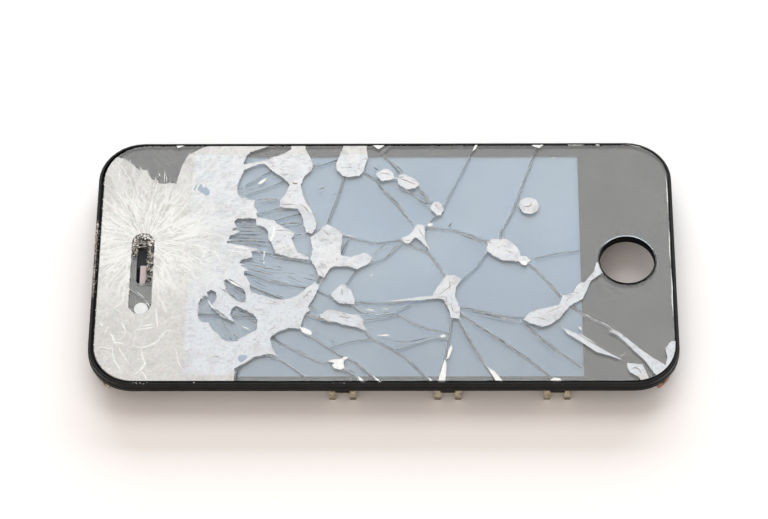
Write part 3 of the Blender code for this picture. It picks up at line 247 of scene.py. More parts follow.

# Fine cracks in the top of the glass, their grey painted shade, and one painted shadow:
# width, then points
HAIRLINES_AND_SHADOW_LINES = [
    (0.24, [(1.3, 27), (0, 26), (-1, 24.8)]),
    (0.34, [(-2.3, 21.9), (-1.2, 21)]),
    (0.2, [(-2.1, 0.9), (-1.2, 2.3), (-0.3, 3.2), (0.6, 4)]),
    (0.24, [(0.2, 0.2), (1.2, 1.8), (2.2, 3.2), (3.3, 4.5)]),
    (0.26, [(-14.3, -10.1), (-13, -11), (-12.3, -11.4)]),
    (0.34, [(-15.2, -12.2), (-13.8, -12.5), (-12.5, -12.9), (-10.5, -13.7), (-9, -13.9)]),
    (0.22, [(-24.2, -21.7), (-26, -22.9), (-28, -24.2)]),
    (0.2, [(-11.6, -3.9), (-12.4, -5.4)]),
    (0.24, [(-26.8, -1.6), (-25, -2.2), (-23, -2.8), (-21, -3.4)]),
    (0.2, [(-26.4, -0.7), (-24, -1.3), (-22.4, -1.8), (-19, -2.2)]),
    (0.2, [(-24.4, -6.7), (-22.6, -7.6), (-20.5, -8.5)]),
    # painted shadow: not a crack but the shadow along the far edge of the crushed patch below it
    (0.34, [(-25, 14), (-22.6, 14.3), (-20.4, 14.1)]),
    (0.3, [(-20.6, 8.2), (-18.4, 8.6), (-16, 8.7)]),
    (0.2, [(-18.2, 5.7), (-15, 6.2)]),
    (0.3, [(-28.9, 9.75), (-26.6, 9.8), (-24.6, 9.6)]),
    (0.2, [(-29, 8.8), (-27, 9), (-25.2, 8.9)]),
    (0.26, [(-29.5, 7.5), (-28.4, 7.3)]),
    (0.26, [(-28.4, 7.8), (-26, 7.6), (-23.6, 7.5)]),
    (0.2, [(-28.8, 6.7), (-26, 6.75), (-23.2, 6.6)]),
    (0.3, [(-29.8, 5.9), (-27, 6), (-23, 5.85)]),
    (0.22, [(-30.2, 5.1), (-27, 5.15), (-22.8, 4.9)]),
    (0.34, [(-30.9, 4.35), (-28, 4.5), (-25.5, 4.55), (-23, 4.25), (-21.6, 3.9)]),
    (0.2, [(-28.5, 3.75), (-26, 3.6), (-24, 3.3), (-22, 3.1)]),
    (0.2, [(-5.8, -22.2), (-4.4, -23.6), (-3, -25), (-2, -25.9)]),
    (0.2, [(-7.6, -24), (-6, -24.8), (-5, -25.5)]),
    (0.2, [(1.4, 23.2), (3, 21.4), (4.4, 19.8)]),
    (0.18, [(-1.6, 18), (0, 16.2), (2.6, 13.2), (4.8, 10.4)]),
    (0.2, [(6.2, 16.1), (7.6, 15), (9.1, 13.4)]),
    (0.2, [(6.3, 14.3), (7.7, 13.4), (9, 12.8)]),
    (0.3, [(13.2, 8.9), (12.4, 7.6)]),
    (0.2, [(14.6, 5.9), (17, 4.9), (19.5, 3.5)]),
    (0.3, [(16.4, -11.6), (20, -12.4), (23.4, -13.3), (27, -13.8)]),
    (0.18, [(15, -12.4), (17.6, -14.6), (20, -16.4), (24, -19.4), (28, -22.6), (30, -24.8)]),
    (0.18, [(27, -15.4), (30, -18), (32.4, -20.2), (35, -22.4)]),
    (0.16, [(31, -4.3), (33, -6.6), (34, -7.9)]),
    (0.16, [(13.6, -13.2), (15.8, -17.4), (17.8, -21.4), (19.2, -24)]),
    (0.2, [(1, -17.9), (4, -18.4), (8, -17.6), (10.4, -16.9)]),
    (0.3, [(-33.4, -10), (-32, -11.2), (-30.6, -12.3), (-29.2, -13.5)]),
    (0.2, [(-29.2, -11.2), (-27.5, -11.4), (-25.2, -12.6)]),
    (0.26, [(-31.8, -6), (-30, -7.2), (-28.6, -8.3), (-27.4, -9.5)]),
    (0.2, [(-29.6, -5.2), (-28, -6.6), (-26.4, -7.6)]),
    (0.2, [(46.2, -19), (45.8, -20.6), (44.8, -21.4)]),
]

# Dark seams in the white crush: width, then points
SEAMS = [
    (0.3, [(-18.1, 18.4), (-17.6, 17.9), (-16.9, 18.2)]),
    (0.16, [(-20.4, 12.9), (-18.6, 13.1), (-17.2, 13)]),
    (0.2, [(-16.6, 13.3), (-15.4, 12.2), (-14.5, 10.8)]),
    (0.16, [(-21.2, 7), (-19, 7)]),
    (0.2, [(-20.8, 4.5), (-20.2, 4.2), (-19.9, 4.6)]),
    (0.14, [(-11.8, 7.2), (-11.2, 6.4), (-10.7, 5.6)]),
    (0.14, [(-12.6, -1.9), (-11.8, -3), (-11.3, -4)]),
    (0.16, [(-8.1, -6.3), (-7.9, -8.1)]),
    (0.2, [(-8.8, -12.4), (-7.4, -12.9), (-6.2, -12.8)]),
    (0.16, [(-21.6, -15.7), (-21, -15.3), (-20.5, -14.7)]),
    (0.14, [(-13.6, -6.2), (-14.6, -7.6), (-15.8, -9)]),
    (0.12, [(-24.8, -18.2), (-24, -17.4)]),
    (0.14, [(-1.4, 20.5), (0.2, 20.3), (1.7, 19.7)]),
    (0.2, [(2.6, 19.1), (3.8, 18.8), (5.2, 18.1), (6.5, 17.6)]),
    (0.16, [(9.8, 13.2), (10.2, 12.5), (10.6, 11.6)]),
    (0.14, [(6.6, 7.8), (7, 6.6), (7.5, 5.6), (7.9, 4.2)]),
    (0.14, [(3.2, 4.9), (4.6, 4.6), (5.6, 4.9)]),
    (0.16, [(20, 4.3), (20.8, 3.9)]),
    (0.24, [(21.8, 3), (22.4, 3)]),
    (0.12, [(23.6, 2.2), (25, 1.8)]),
    (0.3, [(27.2, 12.5), (27.9, 12.4), (28.5, 12.8), (28.7, 13.3)]),
    (0.14, [(10, -8), (11.4, -7.2), (12.8, -5.8), (14.2, -4.6)]),
    (0.14, [(12.4, -4.2), (12.7, -5.6), (12.5, -7)]),
    (0.16, [(12.8, -9.9), (13.1, -10.9), (13.3, -11.8)]),
    (0.12, [(12.1, -8.6), (11.9, -9.6)]),
    (0.14, [(28, -13), (29.6, -13), (30.6, -13.4), (32, -14)]),
    (0.12, [(30.9, -11.9), (32.4, -11.3), (34.4, -10.2)]),
    (0.14, [(34.8, -9.6), (35.4, -8.6), (36.4, -8.3)]),
    (0.2, [(46.6, -24.6), (47.4, -24.1), (48.2, -24.6), (48.6, -25.6)]),
    (0.12, [(-31.5, -18.6), (-30.2, -19.4), (-28.9, -19.9)]),
    (0.12, [(-32.6, -21.8), (-30.6, -21.4)]),
]

# Faint white lines on the clear glass, the last four a painted highlight along its edge:
# width, then points
SLIVERS_AND_EDGE_HIGHLIGHTS = [
    (0.14, [(-43.2, 21.3), (-43.15, 19.8), (-43.2, 18)]),
    (0.12, [(-43.0, 20.2), (-42.7, 19.2), (-42.8, 18.1)]),
    (0.12, [(-44.4, 20.6), (-44, 19.6)]),
    (0.18, [(38.2, -12.2), (38.9, -12.6), (39.5, -13)]),
    (0.16, [(40.1, -13.3), (40.7, -13.8)]),
    (0.12, [(41, -13.9), (42, -14.4), (43, -14.9)]),
    (0.07, [(44.4, -21), (45, -21.5), (45.7, -21.2), (46, -20.5)]),
    (0.2, [(36.6, -7), (36.9, -6.2), (37.4, -5.5), (38.1, -5)]),
    (0.16, [(36.8, -16.4), (38.4, -17.5), (40.4, -18.9)]),
    (0.16, [(35, -7.8), (36.2, -7.6), (37.2, -7.9)]),
    (0.2, [(-23.2, 2.7), (-23.1, 1.4), (-23.3, 0)]),
    (0.2, [(-23.1, 0), (-23.1, -0.9)]),
    (0.24, [(-29.6, 3.4), (-27.6, 3), (-25.6, 2.7)]),
    (0.2, [(-30.6, 2.6), (-28.4, 2.1), (-26.6, 1.9)]),
    (0.34, [(-30.2, -4.2), (-28.6, -5.3), (-26.8, -6.4)]),
    (0.2, [(-26.6, -4.6), (-25.4, -5.4)]),
    (0.24, [(-33.6, -8.9), (-32.8, -10.4), (-31.9, -11.2)]),
    (0.2, [(-27.2, -14.6), (-26.2, -15.2), (-25.2, -15.6)]),
    (0.14, [(-20.3, -3), (-20.2, -4)]),
    (0.12, [(-19.6, -4.5), (-18, -5)]),
    (0.16, [(-8, 5.9), (-6.6, 5.7), (-5.6, 5.4)]),
    (0.3, [(-3.4, -11), (-2.4, -11.2), (-1.7, -11.5)]),
    (0.24, [(-0.3, -10.9), (1, -11.1)]),
    (0.12, [(-47.5, -6.9), (-46.8, -7.5), (-45.8, -8.5)]),
    (0.14, [(-45.6, -9.5), (-45, -9.8), (-44.7, -10.5)]),
    # painted highlight: the light caught by the glass's chamfered edge at the home end and far
    # corner
    (0.16, [(55.05, 8), (55.1, 5), (55, 2), (55.1, -1)]),
    (0.2, [(55.05, -2), (55.15, -6), (55.05, -9), (55.1, -13)]),
    (0.16, [(55, 20), (55.1, 16), (55.05, 11)]),
    (0.16, [(45, 27.1), (48, 27.05), (51, 26.2), (53, 24.8)]),
]


class ScreenSizes(PropertyGroup):
    """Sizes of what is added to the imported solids"""

    crumb: FloatProperty(
        name="Crumb", description="Mean size of a glass crumb round the slot",
        default=0.36 * MM, min=0.1 * MM, unit="LENGTH",
    )
    crumbs: IntProperty(
        name="Crumbs", description="How many crumbs lie round the slot", default=560, min=0
    )
    relief: FloatProperty(
        name="Relief", description="How far white crush stands out of the glass",
        default=0.03 * MM, min=0.0, unit="LENGTH",
    )
    streaks: IntProperty(
        name="Streaks", description="White streaks that run out from the point of impact",
        default=260, min=0,
    )
    splits: IntProperty(
        name="Splits", description="Short fine cracks tried in the clear shards",
        default=90, min=0,
    )
    lens: FloatProperty(
        name="Lens", description="Focal length of the camera", default=149.35, unit="CAMERA"
    )
    distance: FloatProperty(
        name="Distance", description="From the camera to the glass",
        default=615.475 * MM, unit="LENGTH",
    )


def linear(code):
    """An sRGB hex code as linear red, green, blue and alpha."""
    parts = [int(code[i : i + 2], 16) / 255 for i in (0, 2, 4)]
    return [c / 12.92 if c <= 0.04045 else ((c + 0.055) / 1.055) ** 2.4 for c in parts] + [1]


def colour(name, code, description):
    """A colour that a user can change."""
    return FloatVectorProperty(
        name=name, description=description, default=linear(code), subtype="COLOR", size=4,
        min=0.0, max=1.0,
    )


class ScreenColours(PropertyGroup):
    """Colours of the finishes"""

    glass: colour("Glass", "F7FAF9", "Tint of the cover glass")
    crush: colour("Crush", "D2D1CE", "Crushed glass over the black print")
    crush_light: colour("Crush, light", "DBDCD7", "Crushed glass close to the impact")
    crush_dark: colour("Crush, dark", "BAB8B4", "Clouds and grey lines in the crushed glass")
    crush_blue: colour("Crush over display", "D9DEE3", "Crushed glass over the display")
    # painted shade: the grey of fine cracks stands for the dark they show
    crack_shade: colour("Hairline", "5C6268", "Fine cracks")
    ink: colour("Ink", "0C0C0E", "Black print")
    display: colour("Display", "BECCE4", "Front polarizer")
    bezel: colour("Bezel", "080808", "Moulded frame")
    bezel_worn: colour("Bezel, worn", "6A6762", "Scuffs on the frame")
    steel: colour("Steel", "D6CDB8", "Clips")
    steel_dark: colour("Steel, dark", "8F8775", "Stains on the clips")
    copper: colour("Copper", "B07C56", "Tinted eyelet")
    floor: colour("Floor", "F4F3F2", "Paper under the assembly")


def add_node(tree, kind, *values, output=None, **named):
    """Adds a node and gives one of its outputs, or else its first visible one. The values
    fill its visible inputs in order. A name with a capital is an input too, and any other
    is a setting. A value that is a socket is linked."""
    made = tree.nodes.new("ShaderNode" + kind)
    for name, value in named.items():
        if name.islower():
            setattr(made, name, value)
    inputs = list(zip([socket for socket in made.inputs if socket.enabled], values))
    inputs += [
        (made.inputs[name.replace("_", " ")], value)
        for name, value in named.items() if not name.islower()
    ]
    for socket, value in inputs:
        if isinstance(value, bpy.types.NodeSocket):
            tree.links.new(value, socket)
        else:
            socket.default_value = value
    if output is not None:
        return made.outputs[output]
    return next((socket for socket in made.outputs if socket.enabled), None)


def new_material(name):
    """A material without nodes, a function that adds one to it, and a socket with the
    place in the row frame, in millimetres."""
    made = bpy.data.materials.new(name)
    made.use_nodes = True
    made.node_tree.nodes.clear()
    add = partial(add_node, made.node_tree)
    where = add("TexCoord", output="Object")
    return made, add, add("VectorMath", where, 1 / MM, operation="SCALE")


def product(add, *factors):
    """Socket of the product of several factors."""
    total = factors[0]
    for factor in factors[1:]:
        total = add("Math", total, factor, operation="MULTIPLY")
    return total


def blotches(
    add, place, size, low, high, detail=DETAIL, roughness=ROUGHNESS, least=0.0, most=1.0
):
    """Factor that goes from least to most in blotches this many millimetres across."""
    cloud = add("TexNoise", place, 1 / size, detail, roughness)
    return add("MapRange", cloud, low, high, least, most, interpolation_type="SMOOTHSTEP")


def thin_lines(add, place, spacing, width, level=0.5, detail=2.0):
    """Factor that is 1 along thin wandering lines about this many millimetres apart."""
    cloud = add("TexNoise", place, 1 / spacing, detail, ROUGHNESS)
    off = add("Math", add("Math", cloud, level, operation="SUBTRACT"), operation="ABSOLUTE")
    return add("MapRange", off, 0.0, width, 1.0, 0.0, interpolation_type="SMOOTHSTEP")


def wave_scale(period):
    """Scale that gives a wave texture this period, since its own is a twentieth of 2 pi."""
    return math.tau / 20 / period


def blotched(name, size, low, high, first, second, **shader):
    """A finish that goes from one tone to another in blotches of this size."""
    made, add, place = new_material(name)
    spots = blotches(add, place, size, low, high)
    tone = add("Mix", spots, first, second, data_type="RGBA")
    add("OutputMaterial", add("BsdfPrincipled", Base_Color=tone, **shader))
    return made


def cover_glass_polished(colours):
    """Aluminosilicate sheet, drawn and polished: clear, smeared by fingers, its broken
    edges dull, so that the cracks look grey rather than black."""
    made, add, place = new_material("aluminosilicate_glass_polished")
    smear = blotches(add, place, 7.0, 0.48, 0.7, most=0.035)
    upright = add("SeparateXYZ", add("NewGeometry", output="Normal"), output="Z")
    wall = add(
        "MapRange", add("Math", upright, operation="ABSOLUTE"), 0.5, 0.9, 0.6, 0.0,
        interpolation_type="SMOOTHSTEP",
    )
    # The outer edge of the sheet was ground and polished, so it isn't dull
    within = []
    for axis, edge in (("X", GLASS_HALF_LENGTH), ("Y", GLASS_HALF_WIDTH)):
        off = add("Math", add("SeparateXYZ", place, output=axis), operation="ABSOLUTE")
        within.append(
            add("MapRange", off, edge - 0.3, edge - 0.1, 1.0, 0.0,
                interpolation_type="SMOOTHSTEP")
        )
    wall = product(add, wall, product(add, *within))
    dull = add("Math", smear, wall, operation="MAXIMUM")
    shader = add(
        "BsdfPrincipled", Base_Color=colours.glass, IOR=1.51, Transmission_Weight=1.0,
        Roughness=dull,
    )
    add("OutputMaterial", shader)
    return made


def sensor_glass_bonded(colours):
    """Thin sensor glass in clear adhesive: the join hides its gloss, so it only tints."""
    return blotched(
        "sensor_glass_bonded", 12.0, 0.4, 0.65, colours.glass, linear("F1F6F8"), IOR=1.04,
        Transmission_Weight=1.0, Roughness=0.0,
    )


def glass_crushed_in_place(colours):
    """Glass crushed white but held in its laminate: milky, crazed with white lines that
    run out from the impact, and scratched dark where the splinters part."""
    made, add, place = new_material("glass_crushed_in_place")
    spot = from_impact(add, place)
    over_display = display_under(add, spot)
    white = crush_lines(add, place, spot)
    tone = crush_tone(add, place, spot, over_display, colours)
    tone = add("Mix", white, tone, linear("F5F5F2"), data_type="RGBA")
    drawn = add("Mapping", place, Rotation=(0.0, 0.0, 0.5), Scale=(0.45, 1.5, 1.0))
    denser = add(
        "MapRange", spot.x, -30.0, -20.0, 0.22, 0.6, interpolation_type="SMOOTHSTEP"
    )
    scratches = product(
        add, thin_lines(add, drawn, 1.8, 0.022, 0.53, 4.0),
        blotches(add, place, 3.0, 0.46, 0.6),
        add("Math", product(add, over_display, denser), 0.15, operation="ADD"),
    )
    tone = add("Mix", scratches, tone, linear("8F8580"), data_type="RGBA")
    grain = add("TexVoronoi", place, 1 / 0.3, output="Color")
    tone = add("Mix", 0.12, tone, grain, data_type="RGBA", blend_type="SOFT_LIGHT")
    dull = add("MapRange", white, 0.0, 1.0, 0.55, 0.4, interpolation_type="SMOOTHSTEP")
    relief = add("Bump", Distance=0.016 * MM, Height=white)
    shader = add("BsdfPrincipled", Base_Color=tone, IOR=1.51, Roughness=dull, Normal=relief)
    add("OutputMaterial", shader)
    return made


def from_impact(add, place):
    """Sockets of a place's x and y, of its reach from the impact, of its heading from
    there, which wanders a little, and of a factor that is 1 close by."""
    x, y = (add("SeparateXYZ", place, output=axis) for axis in "XY")
    away = add("VectorMath", place, (*IMPACT, GLASS_TOP), operation="SUBTRACT")
    away = add("VectorMath", away, (1.0, 1.0, 0.0), operation="MULTIPLY")
    reach = add("VectorMath", away, operation="LENGTH")
    drift = add("TexNoise", place, 1 / 4.0, output="Color")
    heading = add(
        "VectorMath", add("VectorMath", away, operation="NORMALIZE"),
        add("VectorMath", drift, 0.14, operation="SCALE"), operation="ADD",
    )
    close = add("MapRange", reach, 7.0, 19.0, 1.0, 0.0, interpolation_type="SMOOTHSTEP")
    return SimpleNamespace(x=x, y=y, reach=reach, heading=heading, close=close)


def display_under(add, spot):
    """Factor that is 1 where the glass lies over the display and not over the print."""
    off = add("Math", spot.y, -WINDOW_MIDDLE_Y, operation="ADD")
    off = add("Math", off, operation="ABSOLUTE")
    return product(
        add,
        add("MapRange", spot.x, WINDOW_LEFT - SOFT_EDGE, WINDOW_LEFT + SOFT_EDGE,
            interpolation_type="SMOOTHSTEP"),
        add("MapRange", off, WINDOW_HALF - SOFT_EDGE, WINDOW_HALF + SOFT_EDGE, 1.0, 0.0,
            interpolation_type="SMOOTHSTEP"),
    )


def impact_rays(add, spot, gap, length, width, level=0.5):
    """Factor of lines that part at this gap 10 mm from the impact, and wander over this
    length."""
    spread = add("VectorMath", spot.heading, 10 / gap, operation="SCALE")
    ahead = add("CombineXYZ", Z=add("Math", spot.reach, length, operation="DIVIDE"))
    way = add("VectorMath", spread, ahead, operation="ADD")
    return thin_lines(add, way, 1.0, width, level, 0.6)


def burst_there(add, spot):
    """Factor of how much the glass has burst outward: most of all close to the impact."""
    far_side = add(
        "MapRange", spot.y, -9.0, -3.0, 0.0, 0.45, interpolation_type="SMOOTHSTEP"
    )
    return add("Math", spot.close, far_side, operation="MAXIMUM")


def crush_lines(add, place, spot):
    """Factor of the white lines in crushed glass: rays from the impact, and crazing."""
    patchy = blotches(add, place, 2.6, 0.42, 0.58)
    corner = add("Math", spot.y, product(add, spot.x, 1.4), operation="SUBTRACT")
    calm = add("MapRange", corner, 30.0, 48.0, 0.2, 0.5, interpolation_type="SMOOTHSTEP")
    crazing = add(
        "Math", product(add, thin_lines(add, place, 2.6, 0.05, 0.5, 1.5), patchy, calm),
        product(add, thin_lines(add, place, 1.4, 0.05, 0.47, 2.0), patchy, spot.close, 0.7),
        operation="MAXIMUM",
    )
    rays = add(
        "Math", impact_rays(add, spot, 2.0, 9.0, 0.09),
        impact_rays(add, spot, 1.0, 4.0, 0.08, 0.53), operation="MAXIMUM",
    )
    rays = product(add, rays, burst_there(add, spot), 0.8)
    return add("Math", rays, crazing, operation="MAXIMUM")


def crush_tone(add, place, spot, over_display, colours):
    """Colour of crushed glass: bluer over the display, paler close to the impact, clouded
    with grey, and lined with grey rays."""
    rays = impact_rays(add, spot, 1.5, 6.0, 0.05, 0.44)
    far_corner = product(
        add, add("MapRange", spot.y, 8.0, 20.0, interpolation_type="SMOOTHSTEP"),
        add("MapRange", spot.x, -38.0, -44.0, interpolation_type="SMOOTHSTEP"), 0.45,
    )
    clouds = product(add, blotches(add, place, 3.5, 0.45, 0.7), 0.4)
    tone = colours.crush
    for factor, other in (
        (over_display, colours.crush_blue),
        (product(add, spot.close, 0.75), colours.crush_light),
        (add("Math", clouds, far_corner, operation="MAXIMUM"), colours.crush_dark),
        (product(add, blotches(add, place, 0.6, 0.48, 0.68, 4.0), 0.3), linear("A9A7A0")),
        (product(add, rays, burst_there(add, spot), 0.55), colours.crush_dark),
    ):
        tone = add("Mix", factor, tone, other, data_type="RGBA")
    return tone


def glass_frosted(name, dark_code="E9EAE7", light_code="FBFBF8"):
    """Crumbs, slivers and veins of crushed glass: frosted white facets. On the slivers along the
    glass's edge the white is a painted highlight.
    """
    return blotched(
        name, 0.6, 0.4, 0.6, linear(dark_code), linear(light_code), IOR=1.51,
        Roughness=0.35,
    )


def crumbs_with_ink(colours):
    """Crumbs that kept the black print on their underside: dark, with broken gloss."""
    return blotched(
        "glass_crumbs_inked", 0.5, 0.45, 0.65, colours.ink, linear("54463B"), IOR=1.51,
        Roughness=0.4, Specular_IOR_Level=0.15,
    )


def crumbs_soiled():
    """Crumbs with glue and dirt on them: dull cream to brown."""
    return blotched(
        "glass_crumbs_soiled", 0.5, 0.4, 0.6, linear("C9BDAA"), linear("83715E"),
        Roughness=0.6,
    )


def crack_in_glass(colours):
    """Wall of a fine crack: dull grey, painted shade for a crack that throws no light to the eye.
    """
    return blotched(
        "glass_crack_wall_shaded", 1.5, 0.35, 0.65, colours.crack_shade, colours.crush_dark,
        Roughness=0.7, Specular_IOR_Level=0.1,
    )


def seam_in_crush():
    """Seam between splinters: open and shadowed, brown-grey with trapped dirt."""
    return blotched(
        "glass_seam_soiled", 0.8, 0.35, 0.65, linear("857A72"), linear("C2B9B2"),
        Roughness=0.8, Specular_IOR_Level=0.1,
    )


def ink_screen_printed(colours):
    """Black ink printed under the glass: matt, greyed by pinholes and fine dust."""
    made, add, place = new_material("black_ink_screen_printed")
    pinholes = product(add, blotches(add, place, 0.45, 0.42, 0.66), 0.4)
    tone = add("Mix", pinholes, colours.ink, linear("7A746E"), data_type="RGBA")
    film = product(add, blotches(add, place, 5.0, 0.42, 0.62), 0.35)
    tone = add("Mix", film, tone, linear("5A524B"), data_type="RGBA")
    shader = add(
        "BsdfPrincipled", Base_Color=tone, Specular_IOR_Level=0.05, Roughness=0.7
    )
    add("OutputMaterial", shader)
    return made


def polarizer_film_matt(colours):
    """Polarizer of a display that is off: matt blue-grey, faintly clouded and banded, with
    painted shade that darkens it towards the near edge.
    """
    made, add, place = new_material("polarizer_film_matt")
    cloud = blotches(add, place, 16.0, 0.35, 0.65, 2.0)
    tone = add("Mix", cloud, colours.display, linear("B7C7DE"), data_type="RGBA")
    y = add("SeparateXYZ", place, output="Y")
    # painted shade: the film is mixed to a darker grey-blue towards the near edge
    near = add("MapRange", y, 6.0, -26.0, 0.0, 0.6, interpolation_type="SMOOTHSTEP")
    tone = add("Mix", near, tone, linear("939EB4"), data_type="RGBA")
    # Display rows are 0.08 mm apart; drawn 0.9 mm apart, so that they show
    rows = add(
        "TexWave", place, wave_scale(0.9), 0.4, output="Fac", bands_direction="Y"
    )
    tone = add("Mix", product(add, rows, 0.06), tone, linear("8FA6BC"), data_type="RGBA")
    shader = add(
        "BsdfPrincipled", Base_Color=tone, Specular_IOR_Level=0.1, Roughness=0.6
    )
    add("OutputMaterial", shader)
    return made


def display_glass_etched():
    """Glass of the display with its thin-film circuits: smoky, glossy, finely ruled."""
    made, add, place = new_material("display_glass_etched")
    # Conductors are 0.03 mm apart; drawn 0.25 mm apart, so that they show
    rows = add("TexWave", place, wave_scale(0.25), output="Fac", bands_direction="Y")
    ruled = add("MapRange", rows, 0.4, 0.6, interpolation_type="SMOOTHSTEP")
    tone = add("Mix", ruled, linear("4A5256"), linear("66706F"), data_type="RGBA")
    add("OutputMaterial", add("BsdfPrincipled", Base_Color=tone, IOR=1.51, Roughness=0.1))
    return made


def polycarbonate_moulded(colours):
    """Black moulded plastic: half gloss, with grey scuffs along its lip, which is rasped
    pale behind the earpiece slot."""
    made, add, place = new_material("polycarbonate_moulded_black")
    x, y, level = (add("SeparateXYZ", place, output=axis) for axis in "XYZ")
    worn = product(
        add, blotches(add, place, 0.9, 0.62, 0.72, 6.0, 0.7),
        blotches(add, place, 9.0, 0.42, 0.62),
        add("MapRange", level, 5.9, 6.35, interpolation_type="SMOOTHSTEP"),
    )
    tone = add("Mix", worn, colours.bezel, colours.bezel_worn, data_type="RGBA")
    off = add("Math", add("Math", y, -0.5, operation="ADD"), operation="ABSOLUTE")
    at_end = product(
        add, add("MapRange", x, FRAME_LEFT + 0.75, FRAME_LEFT + 0.9, 1.0, 0.0,
                 interpolation_type="SMOOTHSTEP"),
        add("MapRange", off, 7.5, 9.5, 1.0, 0.0, interpolation_type="SMOOTHSTEP"),
    )
    rasped = product(
        add, at_end, blotches(add, place, 0.3, 0.4, 0.6, 3.0, 0.6, least=0.15),
        add("MapRange", level, 5.4, 6.0, interpolation_type="SMOOTHSTEP"),
    )
    tone = add("Mix", rasped, tone, linear("A39A8E"), data_type="RGBA")
    gloss = blotches(add, place, 2.2, 0.35, 0.7, 4.0, least=0.28, most=0.46)
    grain = add("TexNoise", place, 1 / 0.5, 4.0, ROUGHNESS)
    shader = add(
        "BsdfPrincipled", Base_Color=tone, IOR=1.58, Specular_IOR_Level=0.13,
        Roughness=gloss, Normal=add("Bump", Distance=0.015 * MM, Height=grain),
    )
    add("OutputMaterial", shader)
    return made


def steel_sheet(name, bright, dull, stain_size, tip_shade=0.0):
    """Sheet steel, rolled and stamped: satin, rubbed along its length, stained, and with painted
    shade that darkens it towards its tips."""
    made, add, place = new_material(name)
    long_grain = add("Mapping", place, Scale=(0.08, 1.0, 1.0))
    rubbed = add("TexNoise", long_grain, 1 / 0.4, 4.0, ROUGHNESS)
    stains = blotches(add, place, stain_size, 0.4, 0.7)
    tone = add("Mix", stains, bright, dull, data_type="RGBA")
    level = add("SeparateXYZ", place, output="Z")
    # painted shade: the lower the steel lies, the darker it is, down to the tips by the floor
    painted_tip_shade = add("MapRange", level, 0.2, 1.4, tip_shade, 0.0, interpolation_type="SMOOTHSTEP")
    tone = add("Mix", painted_tip_shade, tone, linear("6B6253"), data_type="RGBA")
    satin = add("MapRange", rubbed, 0.3, 0.7, 0.28, 0.5, interpolation_type="SMOOTHSTEP")
    shader = add(
        "BsdfPrincipled", Base_Color=tone, Metallic=1.0, Roughness=satin,
        Normal=add("Bump", Distance=0.006 * MM, Height=rubbed),
    )
    add("OutputMaterial", shader)
    return made


def rubber_moulded():
    """Soft black rubber: matt, with a fine pebble grain."""
    made, add, place = new_material("silicone_rubber_moulded")
    pebbles = add("TexVoronoi", place, 1 / 0.25, feature="DISTANCE_TO_EDGE")
    cloud = add("TexNoise", place, 1 / 0.7, DETAIL, ROUGHNESS)
    tone = add("Mix", cloud, linear("0A0A0B"), linear("1C1B1D"), data_type="RGBA")
    shader = add(
        "BsdfPrincipled", Base_Color=tone, Specular_IOR_Level=0.06, Roughness=0.8,
        Normal=add("Bump", Distance=0.02 * MM, Height=pebbles),
    )
    add("OutputMaterial", shader)
    return made


def mesh_woven():
    """Blackened wire cloth: a fine grid of dark threads 0.16 mm apart."""
    made, add, place = new_material("steel_mesh_blackened")
    threads = [
        add("TexWave", place, wave_scale(0.16), output="Fac", bands_direction=direction)
        for direction in ("X", "Y")
    ]
    weave = add("Math", *threads, operation="MAXIMUM")
    tone = add("Mix", weave, linear("030303"), linear("161617"), data_type="RGBA")
    shader = add(
        "BsdfPrincipled", Base_Color=tone, Metallic=0.3, Roughness=0.6,
        Normal=add("Bump", Distance=0.03 * MM, Height=weave),
    )
    add("OutputMaterial", shader)
    return made


def polyimide_etched():
    """Flexible circuit: amber film over copper tracks 0.4 mm apart."""
    made, add, place = new_material("polyimide_film_etched")
    tracks = add("TexWave", place, wave_scale(0.4), output="Fac", bands_direction="Y")
    edged = add("MapRange", tracks, 0.45, 0.55, interpolation_type="SMOOTHSTEP")
    tone = add("Mix", edged, linear("6B3A14"), linear("A5662C"), data_type="RGBA")
    shader = add(
        "BsdfPrincipled", Base_Color=tone, Roughness=0.32, Coat_Weight=0.4,
        Normal=add("Bump", Distance=0.02 * MM, Height=tracks),
    )
    add("OutputMaterial", shader)
    return made


def plastic_moulded(name, tone_code, other_code, roughness):
    """Small moulded plastic part: even colour, faint flow marks, soft gloss."""
    made, add, place = new_material(name)
    cloud = add("TexNoise", place, 1 / 1.8, DETAIL, ROUGHNESS)
    tone = add("Mix", cloud, linear(tone_code), linear(other_code), data_type="RGBA")
    grain = add("TexNoise", place, 1 / 0.3, DETAIL, ROUGHNESS)
    shader = add(
        "BsdfPrincipled", Base_Color=tone, IOR=1.5, Roughness=roughness,
        Normal=add("Bump", Distance=0.008 * MM, Height=grain),
    )
    add("OutputMaterial", shader)
    return made


def acrylic_clear():
    """Clear acrylic sheet with a matt print of dots 0.5 mm apart."""
    made, add, place = new_material("acrylic_sheet_dotted")
    dots = add("TexVoronoi", place, 1 / 0.5, Randomness=0.0)
    dotted = add("MapRange", dots, 0.2, 0.3, interpolation_type="SMOOTHSTEP")
    tone = add("Mix", dotted, linear("FFFFFF"), linear("DCE3E2"), data_type="RGBA")
    shader = add("BsdfPrincipled", Base_Color=tone, IOR=1.49, Transmission_Weight=0.6)
    add("OutputMaterial", shader)
    return made


def background_rays(add):
    """Factor that is 1 for rays that show the background: seen, mirrored or let through."""
    seen, mirrored, through = (
        add("LightPath", output=f"Is {kind} Ray") for kind in ("Camera", "Glossy", "Transmission")
    )
    bent = add("Math", mirrored, through, operation="MAXIMUM")
    return add("Math", seen, bent, operation="MAXIMUM")


